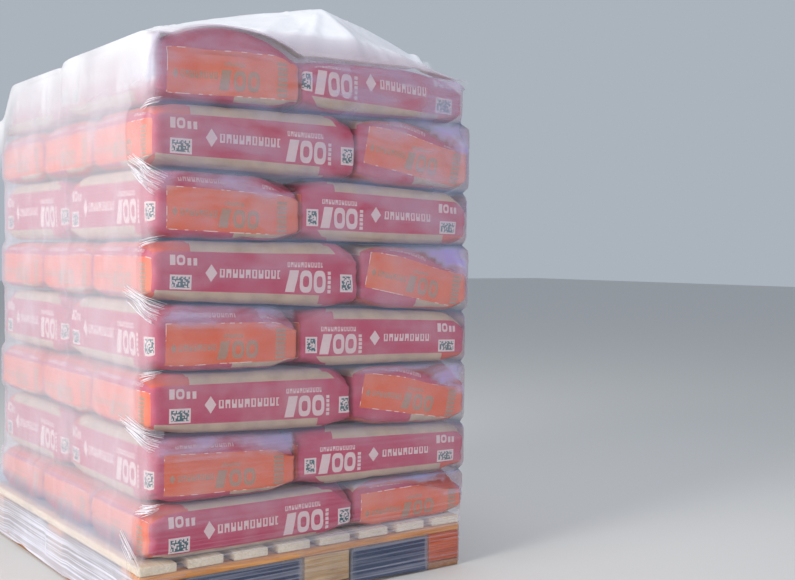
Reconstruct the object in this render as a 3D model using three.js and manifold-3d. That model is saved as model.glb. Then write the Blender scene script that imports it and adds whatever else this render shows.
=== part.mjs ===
import * as THREE from "three";
import { mergeVertices } from "three/addons/utils/BufferGeometryUtils.js";
import Module from "manifold-3d";

// A wooden pallet of filled sacks, wrapped in stretch film under a loose cover sheet.
// Millimetres, +Z up. The origin is on the floor under the middle of the pallet, and the front is -Y.

const palletWidth = 1000; // along X, the short side, where the deck boards end
const palletLength = 1200; // along Y
const deckThickness = 24;
const stringerThickness = 22;
const blockHeight = 82;
const bottomThickness = 22;
const deckBoardCount = 8;
const deckBoardWidth = 100;
const stringerWidth = 120;
const outerBlockWidth = 112;
const middleBlockWidth = 145;
const middleColumnShift = 40; // the middle column of blocks sits this far right of the centre line

const sackLength = 590;
const sackWidth = 394;
const sackHeight = 158; // of a sack that is not pressed; the two rows of heights below are those in the stack
const threeBankHeights = [138, 141, 152, 146, 152, 153, 155, 148]; // banks of three, from the bottom layer up
const twoBankHeights = [133, 177, 179, 177, 196, 180, 194, 134]; // and banks of two
const layerGap = 0.3;
const stackShiftX = 24; // the stack sits right of the pallet's middle, and a little forward
const stackShiftY = -7;
const sackPress = 3; // how far neighbours in a layer press into each other
const sackBulge = 4; // the fullness of a side, halfway along it
const sackInset = 26; // the upper and lower edges lie this far inside the sack's widest line
const sackRim = 10; // how far those edges turn down from the flat face
const topCrown = 22; // the rise of the uncovered upper faces

const filmWall = 2.5;
const filmClearance = 7; // from the stack's nominal side to the film
const filmDip = 8; // how far the film draws in between two layers
const filmShoulder = 35; // how far above and below a joint it starts to
const filmFlare = 15; // it spreads from the stack, this far above the deck,
const filmLip = 2; // to the pallet's edge, this far above the deck
const filmStackCorner = 34;
const filmPalletClearance = 0.5;
const filmPalletCorner = 3;
const filmFoot = 12; // the film's lower edge above the floor
const windowMargin = 1; // the film's fork windows stay this far from the blocks and boards
const filmPast = 60; // how much longer than the pallet the cuts for the windows are

const coverWall = 2.5;
const coverClearance = 11.6; // from the stack's nominal side to the cover's skirt
const coverCorner = 10;
const coverDrop = 150; // the skirt hangs this far below the stack's top
const coverRise = 40; // the cover's height over the stack's top where it isn't tented
const tentRise = 152; // the further height of the tent's peak
const tentPeak = { x: 140, y: -385 };
const tentBackY = 430; // where the tent meets the flat part of the cover
const rimShare = 0.25; // how much of its rise the cover has at its left and right edges
const coverCells = 16;
const coverSkirtCells = 2; // of those, the ones on each side that hang down

const blockTop = bottomThickness + blockHeight;
const deckBottom = blockTop + stringerThickness;
const palletHeight = deckBottom + deckThickness;
const layerCount = threeBankHeights.length;
const stackHalfX = (sackLength + sackWidth) / 2;
const stackHalfY = (3 * sackWidth) / 2;

const wasm = await Module();
wasm.setup();

const finishes = {
  sack: { color: 0xb4485c, roughness: 0.75, metalness: 0 },
  deck: { color: 0xe0c79a, roughness: 0.85, metalness: 0 },
  stringer: { color: 0xd9893f, roughness: 0.85, metalness: 0 },
  block: { color: 0xb99468, roughness: 0.9, metalness: 0 },
  bottom: { color: 0xa0583c, roughness: 0.9, metalness: 0 },
  film: { color: 0xc9cdf0, roughness: 0.2, metalness: 0, transparent: true, opacity: 0.3 },
  cover: { color: 0xf2f4fa, roughness: 0.35, metalness: 0, transparent: true, opacity: 0.55 },
};

const pallet = new THREE.Group();

function addPiece(name, geometry, finish, x, y, z) {
  const piece = new THREE.Mesh(geometry, new THREE.MeshStandardMaterial(finishes[finish]));
  piece.name = name;
  piece.position.set(x, y, z);
  pallet.add(piece);
}

// A board or block whose underside is at height z.
function addTimber(name, finish, sizeX, sizeY, sizeZ, x, y, z) {
  addPiece(name, new THREE.BoxGeometry(sizeX, sizeY, sizeZ), finish, x, y, z + sizeZ / 2);
}

function toManifold(geometry) {
  const bare = geometry.clone();
  bare.deleteAttribute("normal");
  bare.deleteAttribute("uv");
  const merged = mergeVertices(bare);
  const mesh = new wasm.Mesh({
    numProp: 3,
    vertProperties: new Float32Array(merged.attributes.position.array),
    triVerts: new Uint32Array(merged.index.array),
  });
  return new wasm.Manifold(mesh);
}

function fromManifold(solid) {
  const mesh = solid.getMesh();
  const geometry = new THREE.BufferGeometry();
  geometry.setAttribute("position", new THREE.BufferAttribute(mesh.vertProperties, 3));
  geometry.setIndex(new THREE.BufferAttribute(mesh.triVerts, 1));
  return geometry;
}

// Three bottom boards along Y, nine blocks, three stringer boards along X and eight deck boards along Y. The
// blocks stand in three columns across X and three rows across Y.

const columns = [
  { name: "left", middle: (outerBlockWidth - palletWidth) / 2, width: outerBlockWidth },
  { name: "middle", middle: middleColumnShift, width: middleBlockWidth },
  { name: "right", middle: (palletWidth - outerBlockWidth) / 2, width: outerBlockWidth },
];
const rows = [
  { name: "front", middle: (stringerWidth - palletLength) / 2, width: stringerWidth },
  { name: "middle", middle: 0, width: stringerWidth },
  { name: "back", middle: (palletLength - stringerWidth) / 2, width: stringerWidth },
];

for (const column of columns) {
  const name = `bottom_board_${column.name}`;
  addTimber(name, "bottom", column.width, palletLength, bottomThickness, column.middle, 0, 0);
  for (const row of rows) {
    const block = `block_${column.name}_${row.name}`;
    const z = bottomThickness;
    addTimber(block, "block", column.width, row.width, blockHeight, column.middle, row.middle, z);
  }
}

for (const row of rows) {
  const name = `stringer_board_${row.name}`;
  addTimber(name, "stringer", palletWidth, row.width, stringerThickness, 0, row.middle, blockTop);
}

const deckPitch = (palletWidth - deckBoardWidth) / (deckBoardCount - 1);
for (let i = 0; i < deckBoardCount; i++) {
  const name = `deck_board_${i + 1}`;
  const x = -(palletWidth - deckBoardWidth) / 2 + i * deckPitch;
  addTimber(name, "deck", deckBoardWidth, palletLength, deckThickness, x, 0, deckBottom);
}

// One filled sack along X. A box of four cells each way is drawn into a pillow: flat where it lies on the
// sacks above and below, widest at mid height, with rounded corners in plan. Its outer grid lines lie near
// its edges, at these shares of the way out.

const lengthLine = 0.84;
const widthLine = 0.8;
const heightLine = 0.75;
const quarterTurn = Math.PI / 2;
const cornerPull = 1 - Math.SQRT1_2; // takes a square corner to the middle of its arc

function gridLine(value, line) {
  return Math.abs(value) === 0.5 ? Math.sign(value) * line : value;
}

function sackGeometry(crown) {
  const geometry = new THREE.BoxGeometry(2, 2, 2, 4, 4, 4);
  const position = geometry.attributes.position;
  const halfLength = (sackLength + sackPress) / 2;
  const halfWidth = (sackWidth + sackPress) / 2;
  for (let i = 0; i < position.count; i++) {
    const u = gridLine(position.getX(i), lengthLine);
    const v = gridLine(position.getY(i), widthLine);
    const w = gridLine(position.getZ(i), heightLine);
    const atEnd = Math.abs(u) === 1;
    const atSide = Math.abs(v) === 1;
    const inset = sackInset * w ** 4;
    const endBulge = atEnd ? sackBulge * (1 - v * v) : 0;
    const sideBulge = atSide ? sackBulge * (1 - u * u) : 0;
    let reachX = halfLength - inset + endBulge;
    let reachY = halfWidth - inset + sideBulge;
    if (atEnd && atSide) {
      reachX -= cornerPull * (1 - lengthLine) * halfLength;
      reachY -= cornerPull * (1 - widthLine) * halfWidth;
    }
    let z = (w * sackHeight) / 2;
    if (Math.abs(w) === 1) {
      z -= Math.sign(w) * sackRim * (Number(atEnd) + Number(atSide));
    }
    if (w === 1) {
      z += crown * (1 - u * u) * (1 - v * v);
    }
    position.setXYZ(i, u * reachX, v * reachY, z);
  }
  return geometry;
}

// A layer is five sacks: a bank of three along X beside a bank of two along Y. The bank of three is on the
// left in one layer and on the right in the next. It is the thinner one, so the joints between layers slope.

function threeOnLeft(layer) {
  return layer % 2 === 0;
}

// The height of the joint over so many layers, x from the stack's middle. It is straight from side to side.
function jointHeight(layersBelow, x) {
  let left = palletHeight;
  let right = palletHeight;
  for (let i = 0; i < layersBelow; i++) {
    left += threeOnLeft(i) ? threeBankHeights[i] : twoBankHeights[i];
    right += threeOnLeft(i) ? twoBankHeights[i] : threeBankHeights[i];
  }
  return left + ((right - left) * (x + stackHalfX)) / (2 * stackHalfX);
}

function sackPlaces(layer) {
  const bankSide = threeOnLeft(layer) ? -1 : 1;
  const threeX = (bankSide * sackWidth) / 2;
  const twoX = (-bankSide * sackLength) / 2;
  const places = [];
  for (const row of [-1, 0, 1]) {
    places.push({ x: threeX, y: row * sackWidth, turned: false });
  }
  for (const row of [-0.5, 0.5]) {
    places.push({ x: twoX, y: row * sackLength, turned: true });
  }
  return places;
}

// Fits a sack's height between the joints under and over its layer.
function pressBetweenJoints(sack, layer) {
  const position = sack.attributes.position;
  for (let i = 0; i < position.count; i++) {
    const x = position.getX(i);
    const floor = jointHeight(layer, x) + layerGap / 2;
    const rise = jointHeight(layer + 1, x) - layerGap / 2 - floor;
    position.setZ(i, floor + rise * (position.getZ(i) / sackHeight + 0.5));
  }
}

function layerGeometry(layer) {
  const crown = layer === layerCount - 1 ? topCrown : 0;
  const sacks = sackPlaces(layer).map((place) => {
    const sack = sackGeometry(crown);
    if (place.turned) {
      sack.rotateZ(quarterTurn);
    }
    sack.translate(place.x, place.y, 0);
    pressBetweenJoints(sack, layer);
    return toManifold(sack);
  });
  return fromManifold(sacks.reduce((whole, sack) => whole.add(sack)));
}

for (let i = 0; i < layerCount; i++) {
  addPiece(`sack_layer_${i + 1}`, layerGeometry(i), "sack", stackShiftX, stackShiftY, 0);
}

// Joins an outer and an inner grid of points, both rows by columns, into one closed sheet with a rim. A cell
// is split along its other diagonal where turned says so.
function sheetGeometry(outer, inner, closedAround, turned = () => false) {
  const rowCount = outer.length;
  const columnCount = outer[0].length;
  const innerStart = rowCount * columnCount;
  const triangles = [];
  const quad = (a, b, c, d) => triangles.push(a, b, c, a, c, d);
  const at = (row, column) => row * columnCount + (column % columnCount);
  const columnSteps = closedAround ? columnCount : columnCount - 1;
  for (let row = 0; row < rowCount - 1; row++) {
    for (let column = 0; column < columnSteps; column++) {
      const corners = [at(row, column), at(row, column + 1), at(row + 1, column + 1), at(row + 1, column)];
      if (turned(row, column)) {
        corners.push(corners.shift());
      }
      const [a, b, c, d] = corners;
      quad(a, b, c, d);
      quad(a + innerStart, d + innerStart, c + innerStart, b + innerStart);
    }
  }
  const rim = (a, b) => quad(b, a, a + innerStart, b + innerStart);
  for (let column = 0; column < columnSteps; column++) {
    rim(at(0, column), at(0, column + 1));
    rim(at(rowCount - 1, column + 1), at(rowCount - 1, column));
  }
  if (!closedAround) {
    for (let row = 0; row < rowCount - 1; row++) {
      rim(at(row + 1, 0), at(row, 0));
      rim(at(row, columnCount - 1), at(row + 1, columnCount - 1));
    }
  }
  const geometry = new THREE.BufferGeometry();
  const points = [...outer.flat(), ...inner.flat()];
  geometry.setAttribute("position", new THREE.Float32BufferAttribute(points.flat(), 3));
  geometry.setIndex(triangles);
  return geometry;
}

// The stretch film: rings of a rounded rectangle, from the foot up over the pallet and round every layer.

const cornerSteps = [0, 0.5, 1];
const leastCorner = 0.5;

function filmRing(ring, inward) {
  const points = [];
  const radius = Math.max(ring.corner - inward, leastCorner);
  const coreX = ring.halfX - inward - radius;
  const coreY = ring.halfY - inward - radius;
  for (let quarter = 0; quarter < 4; quarter++) {
    const signX = quarter === 0 || quarter === 3 ? 1 : -1;
    const signY = quarter < 2 ? 1 : -1;
    for (const step of cornerSteps) {
      const angle = (quarter + step) * quarterTurn;
      const x = ring.x + signX * coreX + radius * Math.cos(angle);
      const y = ring.y + signY * coreY + radius * Math.sin(angle);
      points.push([x, y, ring.height(x)]);
    }
  }
  return points;
}

function palletRing(z) {
  const reach = filmPalletClearance + filmWall;
  return {
    x: 0,
    y: 0,
    height: () => z,
    halfX: palletWidth / 2 + reach,
    halfY: palletLength / 2 + reach,
    corner: filmPalletCorner,
  };
}

// A ring over or under a joint between layers.
function stackRing(joint, offset, dip) {
  const reach = filmClearance + filmWall - dip;
  return {
    x: stackShiftX,
    y: stackShiftY,
    height: (x) => jointHeight(joint, x - stackShiftX) + offset,
    halfX: stackHalfX + reach,
    halfY: stackHalfY + reach,
    corner: filmStackCorner,
  };
}

function filmGeometry() {
  const rings = [palletRing(filmFoot), palletRing(palletHeight + filmLip), stackRing(0, filmFlare, 0)];
  for (let joint = 1; joint < layerCount; joint++) {
    rings.push(stackRing(joint, -filmShoulder, 0));
    rings.push(stackRing(joint, 0, filmDip));
    rings.push(stackRing(joint, filmShoulder, 0));
  }
  rings.push(stackRing(layerCount, -filmShoulder, 0));
  const outer = rings.map((ring) => filmRing(ring, 0));
  const inner = rings.map((ring) => filmRing(ring, filmWall));
  const film = toManifold(sheetGeometry(outer, inner, true));
  return fromManifold(forkPockets().reduce((left, pocket) => left.subtract(toManifold(pocket)), film));
}

// The space between each member of a line and the next, a little narrowed.
function gapsBetween(members) {
  return members.slice(1).map((member, i) => {
    const low = members[i].middle + members[i].width / 2 + windowMargin;
    const high = member.middle - member.width / 2 - windowMargin;
    return { middle: (low + high) / 2, width: high - low };
  });
}

// The four fork pockets, two each way, as boxes that run out past the film.
function forkPockets() {
  const pocketTop = blockTop - windowMargin;
  const alongY = gapsBetween(columns).map((gap) => {
    const box = new THREE.BoxGeometry(gap.width, palletLength + filmPast, pocketTop);
    return box.translate(gap.middle, 0, pocketTop / 2);
  });
  const low = bottomThickness + windowMargin;
  const high = deckBottom - windowMargin;
  const alongX = gapsBetween(rows).map((gap) => {
    const box = new THREE.BoxGeometry(palletWidth + filmPast, gap.width, high - low);
    return box.translate(0, gap.middle, (low + high) / 2);
  });
  return [...alongY, ...alongX];
}

addPiece("stretch_film", filmGeometry(), "film", 0, 0, 0);

// The cover sheet: tented over the front of the stack, with a skirt that hangs outside the film.

const coverLeftX = -palletWidth / 2;
const coverRightX = palletWidth / 2 + stackShiftX;

function stackTop(x) {
  return jointHeight(layerCount, x - stackShiftX);
}

// A tent's section: 1 at the peak, falling in two slack curves to 0 at low and at high.
function hump(value, low, peak, high) {
  const t = value < peak ? (value - low) / (peak - low) : (high - value) / (high - peak);
  return Math.max(t, 0) * (1.3 - 0.3 * t);
}

function coverHeight(x, y) {
  const acrossX = hump(x, stackShiftX - stackHalfX, tentPeak.x, stackShiftX + stackHalfX);
  const acrossY = hump(y, stackShiftY - stackHalfY, tentPeak.y, tentBackY);
  const rim = hump(x, coverLeftX, 0, coverRightX);
  const lift = rimShare + (1 - rimShare) * Math.sqrt(rim);
  return stackTop(x) + coverRise * lift + tentRise * acrossX * acrossY;
}

// s and t run from -1 to 1 across the sheet. Past topShare a point is on the skirt.
function coverPoint(s, t, inward) {
  const topShare = 1 - (2 * coverSkirtCells) / coverCells;
  const reach = Math.max(Math.abs(s), Math.abs(t));
  const ring = Math.min(reach / topShare, 1);
  const side = coverClearance + coverWall;
  const halfX = stackHalfX + side;
  const halfY = stackHalfY + side;
  const square = new THREE.Vector2((halfX * s) / (reach || 1), (halfY * t) / (reach || 1));
  const core = square.clone().clamp(
    new THREE.Vector2(coverCorner - halfX, coverCorner - halfY),
    new THREE.Vector2(halfX - coverCorner, halfY - coverCorner),
  );
  const onSkirt = reach >= topShare;
  const spoke = square.clone().sub(core).setLength(coverCorner - (onSkirt ? inward : 0));
  const place = core.add(spoke).multiplyScalar(ring);
  const x = stackShiftX + place.x;
  const y = stackShiftY + place.y;
  if (reach <= topShare) {
    const edge = onSkirt ? stackTop(x) : coverHeight(x, y);
    return [x, y, edge - inward];
  }
  const share = (reach - topShare) / (1 - topShare);
  return [x, y, stackTop(x) - share * coverDrop];
}

function coverGeometry() {
  const grid = (inward) => {
    const lines = [];
    for (let row = 0; row <= coverCells; row++) {
      const t = (2 * row) / coverCells - 1;
      const line = [];
      for (let column = 0; column <= coverCells; column++) {
        line.push(coverPoint((2 * column) / coverCells - 1, t, inward));
      }
      lines.push(line);
    }
    return lines;
  };
  const offDiagonal = (row, column) => row < coverCells / 2 !== column < coverCells / 2;
  return sheetGeometry(grid(0), grid(coverWall), false, offDiagonal);
}

addPiece("cover_sheet", coverGeometry(), "cover", 0, 0, 0);

export default pallet;
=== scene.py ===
import math

import bpy
import numpy as np
from mathutils import Matrix, Vector


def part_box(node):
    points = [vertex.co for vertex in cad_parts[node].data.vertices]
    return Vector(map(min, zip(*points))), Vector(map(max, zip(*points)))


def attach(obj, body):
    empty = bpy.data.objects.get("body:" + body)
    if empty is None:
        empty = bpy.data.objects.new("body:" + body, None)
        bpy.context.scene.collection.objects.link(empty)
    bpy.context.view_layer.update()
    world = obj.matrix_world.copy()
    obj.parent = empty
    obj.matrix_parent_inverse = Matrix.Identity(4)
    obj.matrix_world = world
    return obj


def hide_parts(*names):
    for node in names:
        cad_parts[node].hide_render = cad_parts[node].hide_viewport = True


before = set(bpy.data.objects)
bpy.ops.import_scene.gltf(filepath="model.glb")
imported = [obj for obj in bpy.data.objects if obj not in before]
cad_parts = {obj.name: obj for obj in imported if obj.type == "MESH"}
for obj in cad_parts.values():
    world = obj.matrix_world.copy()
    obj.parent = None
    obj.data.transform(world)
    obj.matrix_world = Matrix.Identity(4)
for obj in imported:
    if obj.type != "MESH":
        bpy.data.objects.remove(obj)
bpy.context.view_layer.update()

# The stack stands on the deck, a little right of the pallet's middle. Each layer is a bank of three sacks beside a
# bank of two, turned about from layer to layer, and the bank of two is the thicker one. Lengths are in metres.
stack = {
    "deckTop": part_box("deck_board_1")[1].z,
    "middle": [(low + high) / 2 for low, high in zip(*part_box("sack_layer_1"))][:2],
    "sackLength": 0.590,
    "sackWidth": 0.394,
    "threeBankHeights": (0.138, 0.141, 0.152, 0.146, 0.152, 0.153, 0.155, 0.140),
    "twoBankHeights": (0.133, 0.177, 0.179, 0.177, 0.196, 0.180, 0.202, 0.134),
    "waviness": 0.0025,  # of the joints between layers
    "waveLength": 0.22,
    "outLeft": (0.012, 0.0, 0.010, 0.0, 0.009, 0.0, 0.008, 0.0),  # how far each layer's ends stand out, left
    "outRight": (0.008, 0.012, 0.012, 0.012, 0.020, 0.012, 0.018, -0.010),  # and right
    "seamShift": (0.002, 0.018, -0.002, 0.022, 0.018, 0.024, 0.004, 0.022),  # of the seam between the two banks
    "crown": (0.068, 0.036, 0.014),  # of the top faces: the bank of two, front and back, and the bank of three
    "crownPowers": (2.2, 24),  # how flat the crown is across a sack and along it
    # where the top sinks at a corner: which corner, how deep, and where the sinking starts
    "sinks": (((-1, 1), 0.098, (0.25, 0.43)), ((1, -1), 0.022, (0.25, 0.20))),
    "sinkEnd": 0.93,  # of the stack's half depth
}
layerCount = len(stack["threeBankHeights"])
stackHalfX = (stack["sackLength"] + stack["sackWidth"]) / 2
stackHalfY = 1.5 * stack["sackWidth"]


def linearColour(hexText):
    channels = [int(hexText[i:i + 2], 16) / 255 for i in (0, 2, 4)]
    return [c / 12.92 if c <= 0.04045 else ((c + 0.055) / 1.055) ** 2.4 for c in channels] + [1.0]


def addNode(tree, kind, settings, output=0):
    # Adds a node and gives one of its outputs, or all for None. Among its settings a socket becomes a link, and a
    # tuple that starts with an operation's name becomes a Math node that is linked to it.
    node = tree.nodes.new(kind)
    for key, value in settings.items():
        if isinstance(value, tuple) and isinstance(value[0], str):
            value = addNode(tree, "ShaderNodeMath", {"operation": value[0], **dict(enumerate(value[1:]))})
        if isinstance(key, str) and hasattr(node, key):
            setattr(node, key, value)
        elif isinstance(value, bpy.types.NodeSocket):
            tree.links.new(value, node.inputs[key])
        else:
            node.inputs[key].default_value = value
    return node.outputs if output is None or not node.outputs else node.outputs[output]


def newMaterial(name):
    # The material, its tree, and the place on the object for textures.
    material = bpy.data.materials.new(name)
    material.use_nodes = True
    material.node_tree.nodes.clear()
    return material, material.node_tree, addNode(material.node_tree, "ShaderNodeTexCoord", {}, "Object")


def closeMaterial(tree, settings):
    shader = addNode(tree, "ShaderNodeBsdfPrincipled", settings)
    addNode(tree, "ShaderNodeOutputMaterial", {"Surface": shader})


def layered(tree, colour, *layers):
    # Lays colours over the first one, each as far as its mask says.
    for mask, over in layers:
        mix = {"data_type": "RGBA", 0: mask}
        for socket, part in ((6, colour), (7, over)):
            mix[socket] = linearColour(part) if isinstance(part, str) else part
        colour = addNode(tree, "ShaderNodeMix", mix, 2)
    return colour


def mottled(tree, place, scale, first, second, low=0.4, high=0.75, most=0.8):
    # One colour with cloudy patches of another.
    cloud = addNode(tree, "ShaderNodeTexNoise", {"Scale": scale, "Detail": 4.0, "Vector": place})
    share = {"Value": cloud, "From Min": low, "From Max": high, "To Max": most}
    return layered(tree, first, (addNode(tree, "ShaderNodeMapRange", share), second))


def smoothStep(low, high, value):
    t = np.clip((value - low) / (high - low), 0, 1)
    return t * t * (3 - 2 * t)


def stacked(x, y, z):
    return np.stack(np.broadcast_arrays(x, y, z), axis=-1)


def valueNoise(points, cell, seed):
    # Smooth noise from -1 to 1, with one random value at each corner of a grid of cubes of that size.
    table = np.random.default_rng(seed).uniform(-1, 1, 4096)
    shape = points.shape[:-1]
    scaled = points.reshape(-1, 3) / cell
    base = np.floor(scaled).astype(np.int64)
    part = scaled - base
    part = part * part * (3 - 2 * part)
    total = np.zeros(len(scaled))
    for corner in range(8):
        step = np.array([corner & 1, corner >> 1 & 1, corner >> 2 & 1])
        place = (base + step) * np.array([73856093, 19349663, 83492791])
        index = (place[:, 0] ^ place[:, 1] ^ place[:, 2]) % len(table)
        total += np.prod(np.where(step == 1, part, 1 - part), axis=1) * table[index]
    return total.reshape(shape)


def creaseNoise(points, cell, seed, sharpness):
    # 1 along thin wandering lines, falling away to 0 between them.
    return (1 - np.abs(valueNoise(points, cell, seed))) ** sharpness


def facing(outX, outY, power):
    # How far a surface faces left, right, the front and the back, each from 0 to 1.
    return [np.clip(part, 0, 1) ** power for part in (-outX, outX, -outY, outY)]


def bySide(sides, values):
    # A value for each of the four sides, blended by how far a surface faces them.
    return sum(side * value for side, value in zip(sides, values))


def sheetQuads(rows, columns, closed):
    # The quads of a grid of points. In a closed one each row's last point joins its first.
    quads = []
    for row in range(rows - 1):
        for column in range(columns if closed else columns - 1):
            after = (column + 1) % columns
            start, above = row * columns, (row + 1) * columns
            quads.append((start + column, start + after, above + after, above + column))
    return quads


def addPiece(name, mesh):
    mesh.polygons.foreach_set("use_smooth", np.ones(len(mesh.polygons), bool))
    piece = bpy.data.objects.new(name, mesh)
    bpy.context.scene.collection.objects.link(piece)
    return piece


def makeMesh(name, points, faces, materials, materialOfFace=None):
    mesh = bpy.data.meshes.new(name)
    mesh.from_pydata(np.asarray(points).tolist(), [], np.asarray(faces).tolist())
    for material in materials:
        mesh.materials.append(material)
    if materialOfFace is not None:
        mesh.polygons.foreach_set("material_index", np.asarray(materialOfFace, np.int32))
    mesh.update()
    return addPiece(name, mesh)


def addValues(piece, name, values, domain="POINT"):
    # Stores one number, or one vector, for each point or face corner.
    values = np.asarray(values, np.float32)
    kind, field = ("FLOAT_VECTOR", "vector") if values.shape[-1] == 3 and values.ndim > 1 else ("FLOAT", "value")
    piece.data.attributes.new(name, kind, domain).data.foreach_set(field, values.ravel())


def handOver(piece, node):
    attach(piece, "root")
    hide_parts(node)


def threeOnLeft(layer):
    return layer % 2 == 0


def seamPlace(layer):
    # x of the seam between the two banks, from the stack's middle.
    middle = stackHalfX - stack["sackWidth"]
    return (middle if threeOnLeft(layer) else -middle) + stack["seamShift"][layer]


def crownHeight(x, y):
    # How far the top layer's sacks rise over its nominal top. Its bank of two is on the left.
    seam = seamPlace(layerCount - 1)
    onTwo = x < seam
    halfTwo, halfThree = (stackHalfX + seam) / 2, (stackHalfX - seam) / 2
    across = np.where(onTwo, (x + stackHalfX) / halfTwo - 1, (y / stack["sackWidth"] + 0.5) % 1 * 2 - 1)
    along = np.where(onTwo, y / stack["sackLength"] % 1 * 2 - 1, (x - seam) / halfThree - 1)
    front, back, three = stack["crown"]
    height = np.where(onTwo, np.where(y < 0, front, back), three)
    for part, power in zip((across, along), stack["crownPowers"]):
        height = height * (1 - np.minimum(np.abs(part), 1) ** power)
    return height


def jointHeight(layersBelow, x, y):
    # x and y run from the stack's middle. The joint is straight from side to side, apart from its waves.
    left = right = stack["deckTop"]
    for layer in range(layersBelow):
        three, two = stack["threeBankHeights"][layer], stack["twoBankHeights"][layer]
        left += three if threeOnLeft(layer) else two
        right += two if threeOnLeft(layer) else three
    height = left + (right - left) * (x + stackHalfX) / (2 * stackHalfX)
    if layersBelow == 0:
        return height
    if layersBelow == layerCount:
        for (sideX, sideY), depth, (startX, startY) in stack["sinks"]:
            sunk = smoothStep(startX, stackHalfX, sideX * x)
            height = height - depth * (sunk * smoothStep(startY, stack["sinkEnd"] * stackHalfY, sideY * y))
    return height + stack["waviness"] * valueNoise(stacked(x, y, layersBelow * 3.7), stack["waveLength"], 11)


# Camera, lights and floor

cameraView = {
    "place": (-1.558, -3.070, 0.915),
    "yaw": 36.44,  # degrees from +Y towards +X
    "pitch": -1.86,
    "roll": 0.63,
    "focalPixels": 1093.1,
    "imageWidth": 795,
    "sensor": 36.0,
}


def makeCamera():
    yaw, pitch, roll = (math.radians(cameraView[key]) for key in ("yaw", "pitch", "roll"))
    data = bpy.data.cameras.new("camera")
    data.sensor_width = cameraView["sensor"]
    data.lens = cameraView["focalPixels"] * cameraView["sensor"] / cameraView["imageWidth"]
    camera = bpy.data.objects.new("camera", data)
    turn = Matrix.Rotation(-yaw, 4, "Z") @ Matrix.Rotation(math.pi / 2 + pitch, 4, "X")
    turn = turn @ Matrix.Rotation(roll, 4, "Z")
    camera.matrix_world = Matrix.Translation(cameraView["place"]) @ turn
    bpy.context.scene.collection.objects.link(camera)
    bpy.context.scene.camera = camera


studio = {
    "skyColour": "DCE6F2",
    "skyStrength": 0.57,
    "lamps": {  # place, aim, size in metres, watts and colour
        "key": ((-5.5, -1.0, 3.0), (0.0, 0.0, 0.8), 2.6, 304, "FFF8EF"),
        "fill": ((0.4, -5.4, 2.6), (0.0, -0.4, 0.7), 3.6, 64, "F6F5FF"),
        "top": ((0.6, 0.4, 5.0), (0.0, 0.0, 0.8), 3.4, 60, "FFFFFF"),
    },
    "floorColour": "D5D4D2",
    "floorHalf": 30,
}


def makeLights():
    for name, (place, aim, size, watts, colour) in studio["lamps"].items():
        data = bpy.data.lights.new(name, "AREA")
        data.shape, data.size, data.energy = "DISK", size, watts
        data.color = linearColour(colour)[:3]
        lamp = bpy.data.objects.new(name, data)
        lamp.rotation_euler = (Vector(aim) - Vector(place)).to_track_quat("-Z", "Y").to_euler()
        lamp.location = place
        bpy.context.scene.collection.objects.link(lamp)
    world = bpy.data.worlds.new("sky")
    world.use_nodes = True
    world.node_tree.nodes.clear()
    sky = {"Color": linearColour(studio["skyColour"]), "Strength": studio["skyStrength"]}
    background = addNode(world.node_tree, "ShaderNodeBackground", sky)
    addNode(world.node_tree, "ShaderNodeOutputWorld", {"Surface": background})
    bpy.context.scene.world = world
    bpy.context.scene.view_settings.view_transform = "Standard"


def makeFloor():
    material, tree, place = newMaterial("pale floor")
    grain = addNode(tree, "ShaderNodeTexNoise", {"Scale": 90.0, "Detail": 6.0, "Vector": place})
    bump = addNode(tree, "ShaderNodeBump", {"Strength": 0.15, "Distance": 0.002, "Height": grain})
    closeMaterial(tree, {"Base Color": linearColour(studio["floorColour"]), "Roughness": 0.85, "Normal": bump})
    half = studio["floorHalf"]
    corners = [(-half, -half, 0), (half, -half, 0), (half, half, 0), (-half, half, 0)]
    makeMesh("floor", corners, [(0, 1, 2, 3)], [material])


makeCamera()
makeLights()
makeFloor()
print("camera, lights and floor made")


# Printed kraft paper. Every sack carries "paper", a vector for each face corner. On a long side it is the distance
# from the sack's first end, the height, and the height again with its sign turned on the other side. On an end it
# is the place across and the height. On a large face it is the distance along, the place across, and that as a
# share of the half width.

paperPrint = {
    "crimson": "BE4C68",
    "crimsonWorn": "C0647C",
    "kraft": "C6B09A",
    "kraftShade": "AC9484",
    "ink": "E4D2D0",  # the pale print on the crimson
    "orange": "E26A42",
    "orangeWorn": "E28A72",
    "orangeRed": "D0583F",
    "greyGreen": "9C9684",
    "teal": "45686C",  # dark cells of the code patches
    "dust": "CDB6B6",
    # painted highlight: the pale dashes along the orange patch's edge, standing for glints
    "edgeGlint": "FAEAE2",
    "bandHalf": 0.054,  # the crimson band's half height on a long side
    "kraftStart": 0.094,  # the kraft over the band starts here, from the first end,
    "kraftEnd": 0.528,  # and ends here, on a slant
    "lowKraftStart": 0.006,
    "lowKraftEnd": 0.474,
    "slant": 0.9,
    "faceEnd": 0.425,  # the crimson edge of a large face, in its middle
    "faceCurve": 0.075,
    "beyond": 0.5,  # further than any mark reaches
    "codeCell": 0.0036,
    "codeRim": 0.005,
    "leanShare": 0.20,
    "ladderPitch": 0.012,
}

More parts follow.
